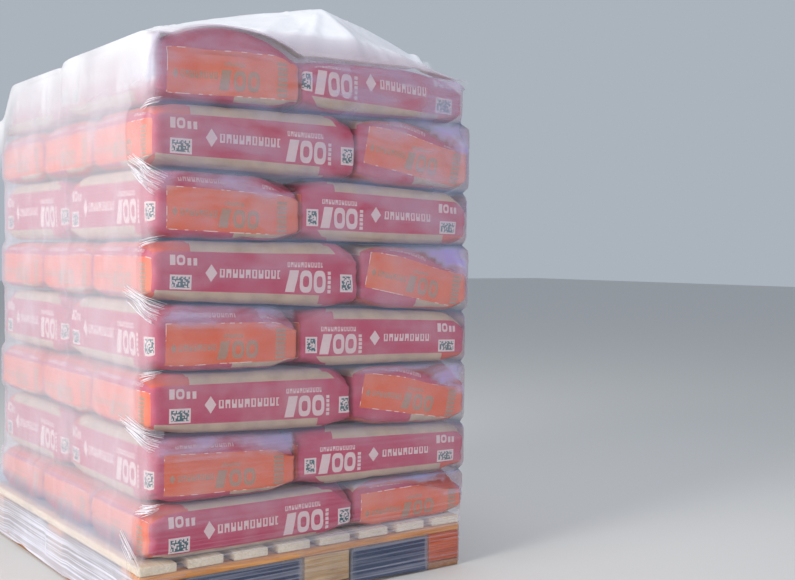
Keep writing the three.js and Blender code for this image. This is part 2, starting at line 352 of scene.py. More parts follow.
# Marks on a long side: kind, low and high distance from the first end, low and high height. None is a letter.
sideMarks = (
    ("solid", 0.044, 0.058, 0.016, 0.044),
    ("frame", 0.062, 0.084, 0.016, 0.044),
    ("solid", 0.090, 0.100, 0.016, 0.036),
    ("solid", 0.106, 0.116, 0.016, 0.036),
    ("code", 0.044, 0.102, -0.050, -0.010),
    ("diamond", 0.139, 0.171, -0.027, 0.021),
    ("row", 0.178, 0.352, -0.014, 0.009),
    ("row", 0.374, 0.484, 0.018, 0.031),
    ("leaning", 0.370, 0.408, -0.048, 0.010),
    ("frame", 0.412, 0.450, -0.048, 0.010),
    ("frame", 0.455, 0.493, -0.048, 0.010),
    ("ladder", 0.500, 0.510, -0.048, 0.008),
    ("code", 0.542, 0.586, -0.044, 0.002),
)

# The other long side reads from the second end.
otherSideMarks = (
    ("code", 0.027, 0.064, -0.044, 0.002),
    ("leaning", 0.072, 0.110, -0.048, 0.010),
    ("frame", 0.114, 0.150, -0.048, 0.010),
    ("frame", 0.154, 0.190, -0.048, 0.010),
    ("ladder", 0.197, 0.208, -0.048, 0.008),
    ("row", 0.076, 0.190, 0.018, 0.031),
    ("diamond", 0.234, 0.268, -0.026, 0.020),
    ("row", 0.282, 0.448, -0.014, 0.009),
    ("solid", 0.474, 0.487, 0.016, 0.044),
    ("frame", 0.491, 0.512, 0.016, 0.044),
    ("solid", 0.518, 0.527, 0.016, 0.036),
    ("solid", 0.532, 0.541, 0.016, 0.036),
    ("code", 0.478, 0.540, -0.050, -0.010),
)

# Marks on an end, from its middle: on the orange panel, and on the flap over it.
endMarks = (
    ("diamond", -0.158, -0.142, -0.034, -0.010),
    ("row", -0.136, -0.034, -0.030, -0.014),
    ("row", -0.016, 0.040, 0.000, 0.010),
    ("leaning", -0.034, 0.002, -0.054, -0.008),
    ("frame", 0.008, 0.042, -0.054, -0.008),
    ("frame", 0.048, 0.082, -0.054, -0.008),
    ("ladder", 0.136, 0.166, -0.060, 0.024),
)
flapMarks = (("row", -0.140, 0.020, 0.052, 0.067), ("row", 0.094, 0.154, 0.050, 0.062))
panel = (-0.172, 0.207, -0.066, 0.038)
panelEdge = 0.0016


def boxMask(along, up, box, rim=0):
    # 1 inside a box of low and high x, low and high y, less a rim.
    lowX, highX, lowY, highY = box
    spans = ((along, lowX + rim, highX - rim), (up, lowY + rim, highY - rim))
    return ("MULTIPLY", *(("COMPARE", value, (low + high) / 2, (high - low) / 2) for value, low, high in spans))


def printMark(tree, kind, along, up, box):
    lowX, highX, lowY, highY = box
    width, height = highX - lowX, highY - lowY
    middleX, middleY = (lowX + highX) / 2, (lowY + highY) / 2
    if kind == "leaning":
        share = paperPrint["leanShare"]
        along = ("ADD", along, ("MULTIPLY_ADD", up, -share, share * middleY))
        return boxMask(along, up, (lowX + 0.005, highX - 0.005, lowY, highY))
    if kind in ("diamond", "frame"):
        # a sum of powers gives a diamond, or a frame that is rounded outside and inside
        power, level, spread = (1.0, 0.0, 1.0) if kind == "diamond" else (3.0, 0.56, 0.44)
        total = 0.0
        for value, middle, half in ((along, middleX, width / 2), (up, middleY, height / 2)):
            offset = ("ABSOLUTE", ("MULTIPLY_ADD", value, 1 / half, -middle / half))
            total = ("ADD", ("POWER", offset, power), total)
        return ("COMPARE", total, level, spread)
    whole = boxMask(along, up, box)
    if kind == "solid":
        return whole
    # A row or a ladder is a line of small blocks, and each block of a row has a notch of its own.
    run, low, pitch = (up, lowY, paperPrint["ladderPitch"]) if kind == "ladder" else (along, lowX, 0.8 * height)
    scaled = addNode(tree, "ShaderNodeMath", {"operation": "MULTIPLY_ADD", 0: run, 1: 1 / pitch, 2: -low / pitch})
    part = addNode(tree, "ShaderNodeMath", {"operation": "FRACT", 0: scaled})
    blocks = ("MULTIPLY", whole, ("LESS_THAN", part, 0.74))
    if kind == "ladder":
        return blocks
    chance = addNode(tree, "ShaderNodeTexWhiteNoise", {"noise_dimensions": "1D", "W": ("FLOOR", scaled)})
    moved = ("ADD", up, ("MULTIPLY_ADD", chance, -0.9 * height, 0.45 * height))
    notch = boxMask(part, moved, (0.24, 0.52, middleY - 0.34 * height, middleY + 0.34 * height))
    return ("MAXIMUM", ("SUBTRACT", blocks, notch), 0.0)


def printInk(tree, along, up, marks, strength):
    total = 0.0
    for kind, *box in marks:
        if kind != "code":
            total = ("MAXIMUM", total, printMark(tree, kind, along, up, box))
    return ("MULTIPLY", total, strength)


def printCodes(tree, along, up, vector, colour, marks):
    # Pale patches with a random check of dark cells.
    snap = {"operation": "SNAP", 0: vector, 1: (paperPrint["codeCell"],) * 3}
    snapped = addNode(tree, "ShaderNodeVectorMath", snap)
    chance = addNode(tree, "ShaderNodeTexWhiteNoise", {"noise_dimensions": "2D", "Vector": snapped})
    for box in (mark[1:] for mark in marks if mark[0] == "code"):
        cells = ("MULTIPLY", boxMask(along, up, box, paperPrint["codeRim"]), ("LESS_THAN", chance, 0.58))
        colour = layered(tree, colour, (boxMask(along, up, box), paperPrint["ink"]), (cells, paperPrint["teal"]))
    return colour


def startPaper(name):
    # The material, its tree, the place for textures, and a list of "paper" whole and its three parts.
    material, tree, place = newMaterial(f"printed kraft paper, {name}")
    vector = addNode(tree, "ShaderNodeAttribute", {"attribute_name": "paper"}, "Vector")
    return material, tree, place, [vector, *addNode(tree, "ShaderNodeSeparateXYZ", {0: vector}, None)]


def finishPaper(tree, place, colour):
    # Matt kraft paper under a thin print: fine creases, dust in patches and a dull sheen on the high spots.
    colour = mottled(tree, place, 7.0, colour, paperPrint["dust"], 0.45, 0.85, 0.35)
    ridged = {"noise_type": "RIDGED_MULTIFRACTAL", "Scale": 9.0, "Detail": 3.0, "Distortion": 0.6, "Vector": place}
    creases = addNode(tree, "ShaderNodeTexNoise", ridged)
    fibre = addNode(tree, "ShaderNodeTexNoise", {"Scale": 700.0, "Detail": 2.0, "Vector": place})
    height = ("MULTIPLY_ADD", fibre, 0.08, creases)
    bump = addNode(tree, "ShaderNodeBump", {"Strength": 0.35, "Distance": 0.0035, "Height": height})
    rough = addNode(tree, "ShaderNodeMapRange", {"Value": creases, "To Min": 0.72, "To Max": 0.55})
    closeMaterial(tree, {"Base Color": colour, "Roughness": rough, "Normal": bump, "Specular IOR Level": 0.35})


def crimsonPaper(tree, place):
    return mottled(tree, place, 14.0, paperPrint["crimson"], paperPrint["crimsonWorn"])


def barePaper(tree, place):
    return mottled(tree, place, 20.0, paperPrint["kraft"], paperPrint["kraftShade"])


def sidePaper(name, marks, fromFirst):
    # The long sides: a crimson band with pale print, and bare kraft above and below it.
    look, beyond = paperPrint, paperPrint["beyond"]
    material, tree, place, (vector, along, up, turned) = startPaper(name)
    crimson = crimsonPaper(tree, place)
    height, shift = ("ABSOLUTE", up), look["slant"] * look["bandHalf"]
    slanted = ("MULTIPLY_ADD", height, look["slant"], along)
    high = boxMask(slanted, turned, (look["kraftStart"] + shift, look["kraftEnd"] + shift, 0, beyond))
    low = boxMask(along, turned, (look["lowKraftStart"], look["lowKraftEnd"], -beyond, 0))
    red = boxMask(along, turned, (-beyond, look["kraftStart"] + 0.004, 0, beyond))
    band = ("LESS_THAN", height, look["bandHalf"])
    layers = ((("MAXIMUM", high, low), barePaper(tree, place)), (red, look["orangeRed"]), (band, crimson))
    if not fromFirst:
        back = {"operation": "SUBTRACT", 0: stack["sackLength"], 1: along}
        along = addNode(tree, "ShaderNodeMath", back)
    colour = layered(tree, crimson, *layers, (printInk(tree, along, up, marks, 0.9), look["ink"]))
    finishPaper(tree, place, printCodes(tree, along, up, vector, colour, marks))
    return material


def endPaper():
    # The ends: an orange patch pasted over crimson, with faint grey-green print and a painted highlight: pale
    # dashed glints along the patch's torn edge.
    look, beyond = paperPrint, paperPrint["beyond"]
    material, tree, place, parts = startPaper("end")
    across, up = parts[1:3]
    under = boxMask(across, up, (0.01, beyond, -beyond, panel[2]))
    flapInk = printInk(tree, across, up, flapMarks, 0.6)
    ground = layered(tree, crimsonPaper(tree, place), (under, barePaper(tree, place)), (flapInk, look["ink"]))
    orange = mottled(tree, place, 9.0, look["orange"], look["orangeWorn"], 0.42, 0.75, 1.0)
    orange = layered(tree, orange, (printInk(tree, across, up, endMarks, 0.75), look["greyGreen"]))
    onPanel, inside = (boxMask(across, up, panel, rim) for rim in (0, panelEdge))
    # painted highlight: broken pale dashes along the patch's torn rim stand for glints on it
    dashes = addNode(tree, "ShaderNodeTexNoise", {"Scale": 45.0, "Detail": 2.0, "Vector": place})
    torn = ("MULTIPLY", ("SUBTRACT", onPanel, inside), ("GREATER_THAN", dashes, 0.53))
    finishPaper(tree, place, layered(tree, ground, (onPanel, orange), (torn, look["edgeGlint"])))
    return material


def facePaper():
    # The two large faces: bare kraft, with a slanting red edge at the first end and a curved crimson one at the
    # second.
    look = paperPrint
    material, tree, place, parts = startPaper("face")
    along, share = parts[1], parts[3]
    half = (look["kraftStart"] - look["lowKraftStart"]) / 2
    first = ("LESS_THAN", ("MULTIPLY_ADD", share, half, along), look["lowKraftStart"] + half)
    curved = ("MULTIPLY_ADD", ("MULTIPLY", share, share), -look["faceCurve"], along)
    last = ("GREATER_THAN", curved, look["faceEnd"])
    edges = ((first, look["orangeRed"]), (last, look["crimson"]))
    finishPaper(tree, place, layered(tree, barePaper(tree, place), *edges))
    return material


# Sacks

sackShape = {
    "cells": (42, 28, 14),
    "crowding": 1.35,  # how much the cells crowd towards the edges
    "edgeShare": 0.78,  # where the cells over the edges start
    "endReach": 0.024,  # the rounding of the edges, along the sack
    "sideReach": 0.024,  # and across it
    "endSideReach": 0.030,  # and across it near an end
    "seamReach": 0.008,  # and next to the seam between the two banks
    "sideTop": 0.026,  # the height of the rounding over a long side
    "sideBottom": 0.022,
    "endTop": 0.046,  # the flap over an end
    "tightEndTop": 0.024,  # where the end leans out, and in the top layer
    "endBottom": 0.020,
    "nearEnd": 0.11,  # how far from an end its rounding starts
    "nearSide": 0.09,
    "bulge": 0.0055,  # of a free side
    "shoulder": 0.005,  # how far the upper face falls towards an end
    "shoulderStart": 0.55,
    "lift": 0.016,  # of the lower face, at a corner
    # how far the upper face falls at a corner, and over what lengths along and across the sack
    "droops": {
        ("three", "odd", "seam"): (0.030, 0.075, 0.09),
        ("three", "odd", "outer"): (0.014, 0.080, 0.10),
        ("three", "even", "seam"): (0.010, 0.080, 0.10),
        ("three", "even", "outer"): (0.026, 0.085, 0.10),
        ("two", "odd", "seam"): (0.008, 0.120, 0.08),
        ("two", "odd", "outer"): (0.056, 0.130, 0.26),
        ("two", "even", "seam"): (0.044, 0.120, 0.13),
        ("two", "even", "outer"): (0.018, 0.120, 0.09),
    },
    "gap": 0.0004,  # between neighbours
    "creaseDepth": 0.0040,
    "foldDepth": 0.003,  # of the short folds near the ends
    "sideWrap": 0.5,  # how much of the paper's way round an edge the print on a long side follows
    "printHalf": 0.085,  # the print's half height
    "lowPrintHalf": 0.070,  # and in the lowest layer, which is thinner
    "topPrint": (0.89, 0.05, 0.39),  # in the top layer: its scale, its slant, and the slant's middle along the sack
}


def boxGrid(cells):
    # The quads of a box of that many cells each way, and the axis that each faces.
    index, quads, axes = {}, [], []
    for axis in range(3):
        first, second = (axis + 1) % 3, (axis + 2) % 3
        for level in (0, cells[axis]):
            for i in range(cells[first]):
                for j in range(cells[second]):
                    corners = []
                    for stepI, stepJ in ((0, 0), (1, 0), (1, 1), (0, 1)):
                        place = [0, 0, 0]
                        place[axis], place[first], place[second] = level, i + stepI, j + stepJ
                        corners.append(index.setdefault(tuple(place), len(index)))
                    quads.append(corners if level else corners[::-1])
                    axes.append(axis)
    unit = 2 * np.array(list(index), float) / np.array(cells) - 1
    crowd = sackShape["crowding"]
    return np.sign(unit) * (1 - (1 - np.abs(unit)) ** crowd), np.array(quads), np.array(axes)


gridUnit, gridQuads, gridAxes = boxGrid(sackShape["cells"])
gridMiddle = gridUnit[gridQuads].mean(axis=1)
overEdge = (gridAxes == 2) & (np.abs(gridMiddle[:, :2]).max(axis=1) > sackShape["edgeShare"])


def sackPlaces(layer):
    # Middle, half sizes and turn of the five sacks of a layer, from the stack's middle.
    left, right = -stackHalfX - stack["outLeft"][layer], stackHalfX + stack["outRight"][layer]
    seam = seamPlace(layer)
    three, two, turns = (left, seam), (seam, right), (0, 90)
    if not threeOnLeft(layer):
        three, two, turns = (seam, right), (left, seam), (180, 270)
    width, length = stack["sackWidth"], stack["sackLength"]
    places = []
    for row in (-1, 0, 1):
        places.append(((sum(three) / 2, row * width), ((three[1] - three[0]) / 2, width / 2), turns[0]))
    for row in (-0.5, 0.5):
        places.append(((sum(two) / 2, row * length), (length / 2, (two[1] - two[0]) / 2), turns[1]))
    return places


def sackPoints(layer, middle, half, turn, chance):
    # The sack's own length runs along X here. It is turned and set between its two joints at the end.
    shape = sackShape
    cosine, sine = round(math.cos(math.radians(turn))), round(math.sin(math.radians(turn)))

    def turned(x, y):
        return cosine * x - sine * y + middle[0], sine * x + cosine * y + middle[1]

    free, seam = {}, {}
    for name, (ownX, ownY) in {"first": (-1, 0), "last": (1, 0), "low": (0, -1), "high": (0, 1)}.items():
        outX, outY = cosine * ownX - sine * ownY, sine * ownX + cosine * ownY
        length = half[0] if ownX else half[1]
        reach = middle[0] * outX + length if outX else middle[1] * outY + length
        free[name] = reach > (stackHalfX if outX else stackHalfY) - 0.03
        seam[name] = outX != 0 and not free[name]
    halfX, halfY = half[0] - shape["gap"], half[1] - shape["gap"]
    u, v, w = gridUnit.T
    nearEnd = smoothStep(halfX - shape["nearEnd"], halfX, np.abs(u) * halfX)
    nearSide = smoothStep(halfY - shape["nearSide"], halfY, np.abs(v) * halfY)
    top = shape["sideTop"] + (chance["endTop"] - shape["sideTop"]) * nearEnd
    bottom = shape["sideBottom"] + (shape["endBottom"] - shape["sideBottom"]) * nearEnd
    sideReach = shape["sideReach"] + (shape["endSideReach"] - shape["sideReach"]) * nearEnd
    sideReach = np.where(np.where(v > 0, seam["high"], seam["low"]), shape["seamReach"], sideReach)
    endReach = np.where(np.where(u > 0, seam["last"], seam["first"]), shape["seamReach"], shape["endReach"])
    halfZ = 0.25 * (stack["threeBankHeights"][layer] + stack["twoBankHeights"][layer])
    edges = []
    reachOf = ((u, halfX, endReach), (v, halfY, sideReach), (w, halfZ, np.where(w > 0, top, bottom)))
    for unit, size, reach in reachOf:
        core = np.clip(unit * size, reach - size, size - reach)
        edges.append((core, (unit * size - core) / reach, reach))
    length = np.maximum(np.sqrt(sum(part ** 2 for _, part, _ in edges)), 1e-9)
    x, y, z = (core + reach * part / length for core, part, reach in edges)
    # free sides bulge, pressed ones stay flat
    belly = shape["bulge"] * chance["fullness"] * (1 - (z / halfZ) ** 2)
    x += np.where(u > 0, free["last"], -1 * free["first"]) * belly * (1 - v ** 2) * np.abs(u) ** 6
    y += np.where(v > 0, free["high"], -1 * free["low"]) * belly * (1 - u ** 4) * np.abs(v) ** 6
    rise = z / halfZ
    fall = shape["shoulder"] * np.clip((np.abs(u) - shape["shoulderStart"]) / (1 - shape["shoulderStart"]), 0, 1) ** 2
    kind = ("three" if turn % 180 == 0 else "two", "odd" if threeOnLeft(layer) else "even")
    for sideU, sideV in ((-1, -1), (-1, 1), (1, -1), (1, 1)):
        towards = ("last" if sideU > 0 else "first") if turn % 180 == 0 else ("high" if sideV > 0 else "low")
        depth, spanU, spanV = shape["droops"][(*kind, "seam" if seam[towards] else "outer")]
        nearU = smoothStep(halfX - spanU, halfX, u * sideU * halfX)
        fall = fall + depth * nearU * smoothStep(halfY - spanV, halfY, v * sideV * halfY)
    fallen = smoothStep(0.0, 1.0, z / halfZ) * chance["slump"] * fall / halfZ
    rise -= fallen
    rise += smoothStep(0.0, 1.0, -z / halfZ) * shape["lift"] * nearEnd * nearSide / halfZ
    worldX, worldY = turned(x, y)
    floor = jointHeight(layer, worldX, worldY) + shape["gap"]
    ceiling = jointHeight(layer + 1, worldX, worldY) - shape["gap"]
    # the print's coordinates follow the paper round the edges; the top layer isn't pressed flat
    up = rise * (shape["lowPrintHalf"] if layer == 0 else shape["printHalf"])
    upEnd = up + chance["slide"] * (fallen * shape["printHalf"] - 0.010)
    if layer == layerCount - 1:
        ceiling = ceiling + crownHeight(worldX, worldY)
        scale, slant, start = shape["topPrint"]
        up = upEnd = (ceiling - floor) * (rise + 1) / 2 * scale - shape["printHalf"]
        up = up + slant * (start - x - halfX) * (turn == 180)
    upSide = up + np.sign(z) * shape["sideWrap"] * np.clip(halfY - np.abs(y), 0, 0.03)
    upEnd = upEnd + np.sign(z) * chance["wrap"] * np.clip(halfX - np.abs(x), 0, 0.04)
    paper = {"along": x + halfX - chance["out"], "across": y, "upSide": upSide, "upEnd": upEnd, "halfY": halfY}
    # creases only sink in, so neighbours stay apart
    own = np.stack([x, y, z], axis=1) + chance["offset"]
    creases = creaseNoise(own * (0.35, 0.35, 1.0), 0.05, 21, 7) + 0.6 * creaseNoise(own, 0.07, 22, 9)
    dents = 0.5 + 0.5 * valueNoise(own, 0.16, 23)
    sink = shape["creaseDepth"] * (0.7 * creases + 0.9 * dents)
    x -= np.sign(x) * sink * np.abs(u) ** 8 * 1.3
    y -= np.sign(y) * sink * np.abs(v) ** 8
    folds = creaseNoise(own * (1.0, 0.5, 1.0), 0.045, 24, 4) * nearEnd * shape["foldDepth"]
    rise -= np.sign(rise) * (sink + folds) / halfZ * np.abs(w) ** 6 * 0.8
    worldX, worldY = turned(x, y)
    worldZ = floor + (ceiling - floor) * (rise + 1) / 2
    return stacked(worldX + stack["middle"][0], worldY + stack["middle"][1], worldZ), paper


def paperOnCorners(paper, shear, lean, wrapped):
    # On an end, across runs to the right as seen from outside.
    values = np.zeros((*gridQuads.shape, 3))
    for axis, names in enumerate((("across", "upEnd"), ("along", "upSide"), ("along", "across"))):
        which = gridAxes == axis
        sign = np.sign(gridMiddle[which, axis])[:, None]
        first, second = (paper[name][gridQuads[which]] for name in names)
        if axis == 0:
            first = sign * first
            first, second = first - lean * second, second + shear * first
        third = (0 * second, -sign * second, sign * second / paper["halfY"])[axis]
        values[which] = np.stack([first, second, third], axis=-1)
    if wrapped:
        values[overEdge] = (0.3, 0.3, 0)  # plain crimson on the ends' paper
    return values.reshape(-1, 3)


def makeSacks():
    papers = [endPaper(), sidePaper("low side", sideMarks, True), facePaper()]
    papers.append(sidePaper("high side", otherSideMarks, False))
    paperOfFace = np.where((gridAxes == 1) & (gridMiddle[:, 1] > 0), 3, gridAxes)
    draw = np.random.default_rng(5)
    for layer in range(layerCount):
        for number, (middle, half, turn) in enumerate(sackPlaces(layer), 1):
            slumped, onTop = threeOnLeft(layer) and number > 3 and layer > 0, layer == layerCount - 1
            chance = {
                "fullness": draw.uniform(0.7, 1.3),
                "slump": draw.uniform(0.8, 1.2) * (0.2 if onTop and number > 3 else 1),
                "slide": 1 if slumped else 0,
                "wrap": 0.1 if slumped or onTop else 0.5,
                "endTop": sackShape["tightEndTop" if slumped or onTop else "endTop"],
                "offset": draw.uniform(-5, 5, 3),
                "out": stack["outLeft"][layer] if turn == 0 else 0,
            }
            shear = draw.uniform(0.12, 0.15) if slumped else draw.uniform(-0.03, 0.02)
            points, paper = sackPoints(layer, middle, half, turn, chance)
            papersHere = np.where(onTop & overEdge, 0, paperOfFace)
            sack = makeMesh(f"sack_{layer + 1}_{number}", points, gridQuads, papers, papersHere)
            addValues(sack, "paper", paperOnCorners(paper, shear, 0.2 if slumped else 0, onTop), "CORNER")
            handOver(sack, f"sack_layer_{layer + 1}")


makeSacks()
print("sacks made")


# Sawn softwood. The growth rings show as streaks along the grain, with grey weathering in patches.

woods = {  # pale, dark, axis of the grain, ring spacing
    "deck": ("F6EBD4", "DCC7A0", 1, 0.009),
    "stringer": ("E6A96C", "BE7438", 0, 0.010),
    "block": ("DCC096", "B48A60", 0, 0.008),
    "redBlock": ("D4704A", "AC4A2C", 0, 0.008),
    "bottom": ("B98A66", "8C5A3C", 1, 0.010),
}
timberShape = {"warp": 0.0030, "cell": 0.045, "edge": 0.0024, "edgeAngle": 50, "shrink": 0.0009}
palletRows, palletColumns, deckBoards = ("front", "middle", "back"), ("left", "middle", "right"), range(1, 9)


def woodMaterial(name):
    # Rough sawn and dry: matt, with saw fuzz that breaks the light up along the grain.
    pale, dark, axis, spacing = woods[name]
    material, tree, place = newMaterial(f"rough sawn softwood, {name}")
    stretch = [1 / spacing] * 3
    stretch[axis] *= 0.05
    along = addNode(tree, "ShaderNodeMapping", {"Scale": stretch, "Vector": place})
    grain = {"Scale": 1.0, "Detail": 5.0, "Roughness": 0.6, "Distortion": 1.2, "Vector": along}
    rings = addNode(tree, "ShaderNodeTexNoise", grain)
    fibre = addNode(tree, "ShaderNodeTexNoise", {"Scale": 9.0, "Detail": 3.0, "Vector": along})
    amount = addNode(tree, "ShaderNodeMapRange", {"Value": rings, "From Min": 0.35, "From Max": 0.7})
    colour = mottled(tree, place, 6.0, layered(tree, pale, (amount, dark)), "8F8478", 0.5, 0.8, 0.5)
    height = ("MULTIPLY_ADD", fibre, 0.5, rings)
    bump = addNode(tree, "ShaderNodeBump", {"Strength": 0.5, "Distance": 0.0012, "Height": height})
    closeMaterial(tree, {"Base Color": colour, "Normal": bump, "Roughness": 0.82, "Specular IOR Level": 0.3})
    return material


def newTree(name, **inputs):
    # A Geometry Nodes tree with named inputs, and the outputs of its Group Input node.
    tree = bpy.data.node_groups.new(name, "GeometryNodeTree")
    for label, kind in inputs.items():
        tree.interface.new_socket(name=label, in_out="INPUT", socket_type=f"NodeSocket{kind}")
    tree.interface.new_socket(name="Result", in_out="OUTPUT", socket_type="NodeSocketGeometry")
    return tree, addNode(tree, "NodeGroupInput", {}, None)


def closeTree(tree, geometry, material):
    real = addNode(tree, "GeometryNodeRealizeInstances", {0: geometry})
    painted = addNode(tree, "GeometryNodeSetMaterial", {"Geometry": real, "Material": material})
    addNode(tree, "NodeGroupOutput", {"Result": painted})
    return tree


def grow(name, tree, inputs, start=None, bevel=0):
    # Runs a Geometry Nodes tree and keeps what it makes as a plain mesh.
    seedling = bpy.data.objects.new(name + ".seed", start or bpy.data.meshes.new(name))
    bpy.context.scene.collection.objects.link(seedling)
    modifier = seedling.modifiers.new("grow", "NODES")
    modifier.node_group = tree
    for socket in tree.interface.items_tree:
        if socket.name in inputs:
            modifier[socket.identifier] = inputs[socket.name]
    if bevel:
        rounding = seedling.modifiers.new("rounding", "BEVEL")
        rounding.width, rounding.segments = bevel, 2
        rounding.limit_method, rounding.angle_limit = "ANGLE", math.radians(timberShape["edgeAngle"])
    graph = bpy.context.evaluated_depsgraph_get()
    result = bpy.data.meshes.new_from_object(seedling.evaluated_get(graph))
    bpy.data.objects.remove(seedling)
    result.name = name
    return addPiece(name, result)


def timberTree():
    # One tree saws every board and block: a box of cells, bent a little by noise.
    cells = {f"Cells{axis}": "Int" for axis in "XYZ"}
    tree, given = newTree(
        "sawn timber", Size="Vector", Place="Vector", **cells, Warp="Float", Seed="Int", Wood="Material"
    )
    cube = {"Size": given["Size"], **{f"Vertices {axis}": given[f"Cells{axis}"] for axis in "XYZ"}}
    box = addNode(tree, "GeometryNodeMeshCube", cube)
    place = addNode(tree, "GeometryNodeInputPosition", {})
    wave = {"noise_dimensions": "4D", "Scale": 5.0, "Detail": 1.0, "Vector": place, "W": given["Seed"]}
    noise = addNode(tree, "ShaderNodeTexNoise", wave, "Color")
    centred = addNode(tree, "ShaderNodeVectorMath", {"operation": "SUBTRACT", 0: noise, 1: (0.5, 0.5, 0.5)})
    offset = addNode(tree, "ShaderNodeVectorMath", {"operation": "SCALE", 0: centred, "Scale": given["Warp"]})
    bent = addNode(tree, "GeometryNodeSetPosition", {"Geometry": box, "Offset": offset})
    moved = addNode(tree, "GeometryNodeTransform", {"Geometry": bent, "Translation": given["Place"]})
    return closeTree(tree, moved, given["Wood"])


nailShape = {
    "radius": 0.0045,
    "height": 0.0012,
    "sides": 9,
    "apart": 0.056,
    "strayX": 0.006,
    "strayY": 0.03,
    "sunkTop": 0.0008,  # its middle under the deck's face
    "sunkFoot": 0.0009,  # and over the bottom boards' lower face
}


def nailMaterial():
    # Bright drawn steel wire nails, dulled by the weather.
    material, tree, place = newMaterial("steel, wire nails")
    colour = mottled(tree, place, 90.0, "A8A8A6", "7C6A5C", 0.4, 0.7, 0.9)
    closeMaterial(tree, {"Base Color": colour, "Metallic": 1.0, "Roughness": 0.42})
    return material


def nailTree():
    tree, given = newTree(
        "nail heads", Points="Geometry", Radius="Float", Height="Float", Sides="Int", Steel="Material"
    )
    size = {"Vertices": given["Sides"], "Radius": given["Radius"], "Depth": given["Height"]}
    head = addNode(tree, "GeometryNodeMeshCylinder", size)
    copies = addNode(tree, "GeometryNodeInstanceOnPoints", {"Points": given["Points"], "Instance": head})
    return closeTree(tree, copies, given["Steel"])


def makePallet():
    tree = timberTree()
    material = {name: woodMaterial(name) for name in woods}
    nodes = [(f"deck_board_{i}", "deck", "deck_wood") for i in deckBoards]
    nodes += [(f"stringer_board_{row}", "stringer", "stringer_wood") for row in palletRows]
    nodes += [(f"bottom_board_{column}", "bottom", "bottom_wood") for column in palletColumns]
    for column in palletColumns:
        wood = "redBlock" if column == "right" else "block"
        nodes += [(f"block_{column}_{row}", wood, "block_wood") for row in palletRows]
    for seed, (node, wood, slot) in enumerate(nodes):
        low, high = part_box(node)
        size = high - low - 2 * timberShape["shrink"] * Vector((1, 1, 1))
        inputs = {"Size": size, "Place": (low + high) / 2, "Warp": timberShape["warp"], "Seed": seed * 7}
        inputs["Wood"] = material[wood]
        for axis, length in zip("XYZ", size):
            inputs[f"Cells{axis}"] = max(2, 1 + round(length / timberShape["cell"]))
        handOver(grow(f"{node}_sawn", tree, inputs, bevel=timberShape["edge"]), node)
    # two nails through every crossing of a deck board and a stringer, and two under every block
    shape = nailShape
    draw = np.random.default_rng(8)
    places = []
    for row in palletRows:
        top = stack["deckTop"] - shape["sunkTop"]
        crossings = [(f"deck_board_{i}", f"stringer_board_{row}", top) for i in deckBoards]
        crossings += [(f"block_{column}_{row}",) * 2 + (shape["sunkFoot"],) for column in palletColumns]
        for over, under, z in crossings:
            middleX, middleY = (sum(corner[i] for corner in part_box(node)) / 2 for i, node in enumerate((over, under)))
            for side in (-0.5, 0.5):
                x = middleX + side * shape["apart"] + draw.uniform(-shape["strayX"], shape["strayX"])
                places.append((x, middleY + draw.uniform(-shape["strayY"], shape["strayY"]), z))
    points = bpy.data.meshes.new("nail places")
    points.from_pydata(places, [], [])
    inputs = {name.capitalize(): shape[name] for name in ("radius", "height", "sides")}
    inputs["Steel"] = nailMaterial()
    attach(grow("pallet_nails", nailTree(), inputs, start=points), "root")


makePallet()
print("pallet made")
